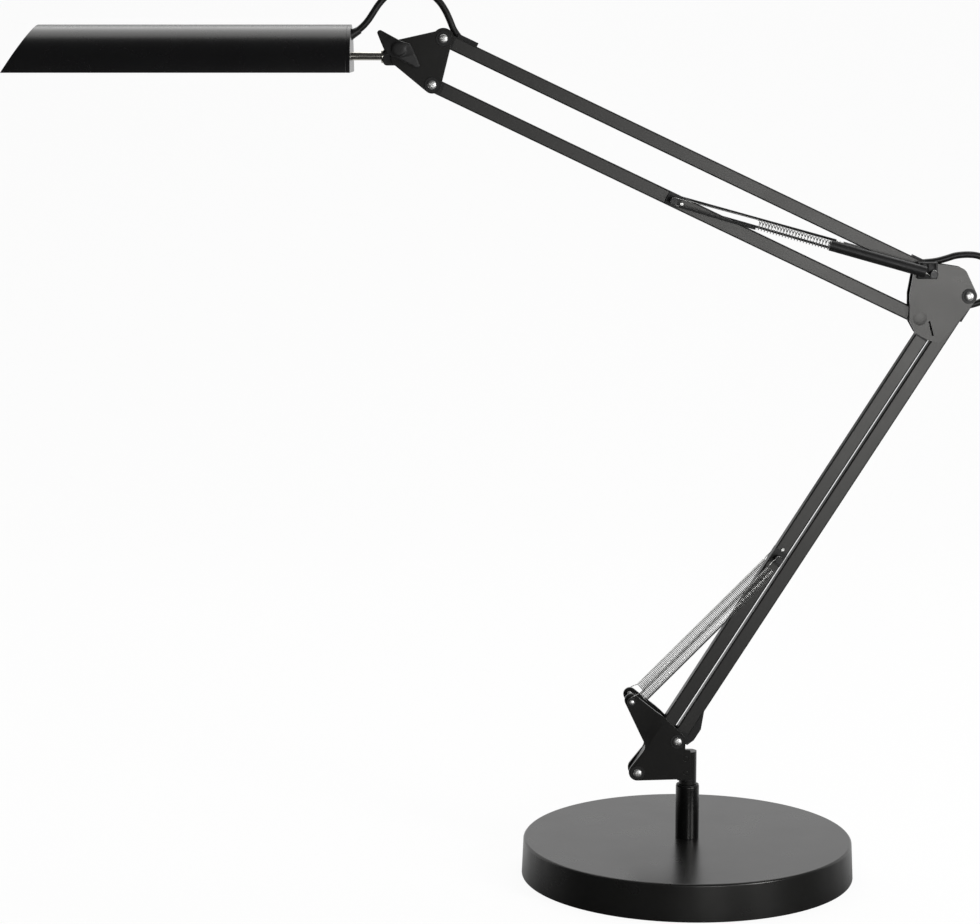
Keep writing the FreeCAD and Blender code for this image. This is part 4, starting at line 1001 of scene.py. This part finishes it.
def paper_glow(look):
    """The share and strength of the paper's own white.

    It is full to the eye, and in mirrors it is darker in front of the lamp than behind it.
    """
    rays = look.add("ShaderNodeLightPath")
    seen, through = rays.outputs["Is Camera Ray"], rays.outputs["Is Transmission Ray"]
    straight = maths(look, "MAXIMUM", seen, through)
    mirrored = rays.outputs["Is Glossy Ray"]
    share = maths(look, "MAXIMUM", maths(look, "MULTIPLY", straight, 0.93), mirrored)
    place = look.add("ShaderNodeSeparateXYZ")
    look.link(look.coords(), place.inputs["Vector"])
    behind = look.spread(place.outputs["Y"], 0.05, 1.0, -0.08, 0.12)
    return share, maths(look, "MAXIMUM", behind, straight)


def add_stage():
    """A pale floor that runs up into a backdrop."""
    verts = []
    half, front, back, rise, bend = 5.0, -4.0, 2.2, 3.5, 1.0
    rows = [(front, 0.0), (back - bend, 0.0)]
    for i in range(1, 13):
        turn = math.pi / 2 * i / 12
        rows.append((back - bend + bend * math.sin(turn), bend - bend * math.cos(turn)))
    rows.append((back, rise))
    for y, z in rows:
        verts += [(-half, y, z), (half, y, z)]
    faces = [(2 * i, 2 * i + 1, 2 * i + 3, 2 * i + 2) for i in range(len(rows) - 1)]
    mesh = mesh_of("stage", verts, faces)
    stage = bpy.data.objects.new("stage", mesh)
    bpy.context.scene.collection.objects.link(stage)
    look = Nodes("stage_paper")
    where = look.coords()
    tone = look.mix(look.noise(where, 8.0), (0.80, 0.80, 0.79), (0.84, 0.84, 0.83))
    look.link(tone, look.shader.inputs["Base Color"])
    look.shader.inputs["Roughness"].default_value = 0.9
    look.shader.inputs["Specular IOR Level"].default_value = 0.1
    share, strength = paper_glow(look)
    white = look.add("ShaderNodeEmission")
    look.link(strength, white.inputs["Strength"])
    both = look.tree.nodes.new("ShaderNodeMixShader")
    look.link(share, both.inputs[0])
    look.link(look.shader.outputs["BSDF"], both.inputs[1])
    look.link(white.outputs["Emission"], both.inputs[2])
    output = look.tree.nodes["Material Output"]
    look.link(both.outputs["Shader"], output.inputs["Surface"])
    mesh.materials.append(look.material)
    mesh.shade_smooth()


def add_softbox(name, place, aim, size, watts):
    """A soft rectangular lamp that points at a place."""
    lamp = bpy.data.lights.new(name, "AREA")
    lamp.shape = "RECTANGLE"
    lamp.size, lamp.size_y = size
    lamp.energy = watts
    thing = bpy.data.objects.new(name, lamp)
    thing.location = place
    thing.rotation_euler = (Vector(aim) - Vector(place)).to_track_quat("-Z", "Y").to_euler()
    bpy.context.scene.collection.objects.link(thing)


def add_lights():
    """A dim white world and three softboxes."""
    world = bpy.data.worlds.new("world")
    bpy.context.scene.world = world
    world.use_nodes = True
    tree = world.node_tree
    ground = tree.nodes["Background"]
    ground.inputs["Color"].default_value = (1.0, 1.0, 1.0, 1.0)
    rays = tree.nodes.new("ShaderNodeLightPath")
    level = tree.nodes.new("ShaderNodeMapRange")
    level.inputs["To Min"].default_value = 0.1
    level.inputs["To Max"].default_value = 1.0
    tree.links.new(rays.outputs["Is Camera Ray"], level.inputs["Value"])
    tree.links.new(level.outputs["Result"], ground.inputs["Strength"])
    add_softbox("lamp_top", (0.0, 0.72, 1.75), (0.0, 0.0, 0.25), (2.6, 1.4), 36.0)
    add_softbox("lamp_front", (0.38, -1.72, 0.27), (0.1, 0.0, 0.38), (0.45, 0.4), 12.0)
    add_softbox("lamp_strip", (1.0, -0.95, 0.47), (0.0, 0.0, 0.2), (0.3, 0.9), 18.0)


# ---- the scene ------------------------------------------------------------------

bpy.context.scene.view_settings.view_transform = "Standard"
LOOKS = make_materials()
add_camera()
add_flexes()
add_springs()
finish_cad_nodes()
for part, width in ROUNDING.items():
    softened(part, width)
add_rods()
add_elbow_plates()
add_spring_pins()
add_screws()
add_studs()
add_saddles()
add_anchor_blocks()
add_wing_nut()
add_head_collar()
add_gland()
add_stage()
add_lights()
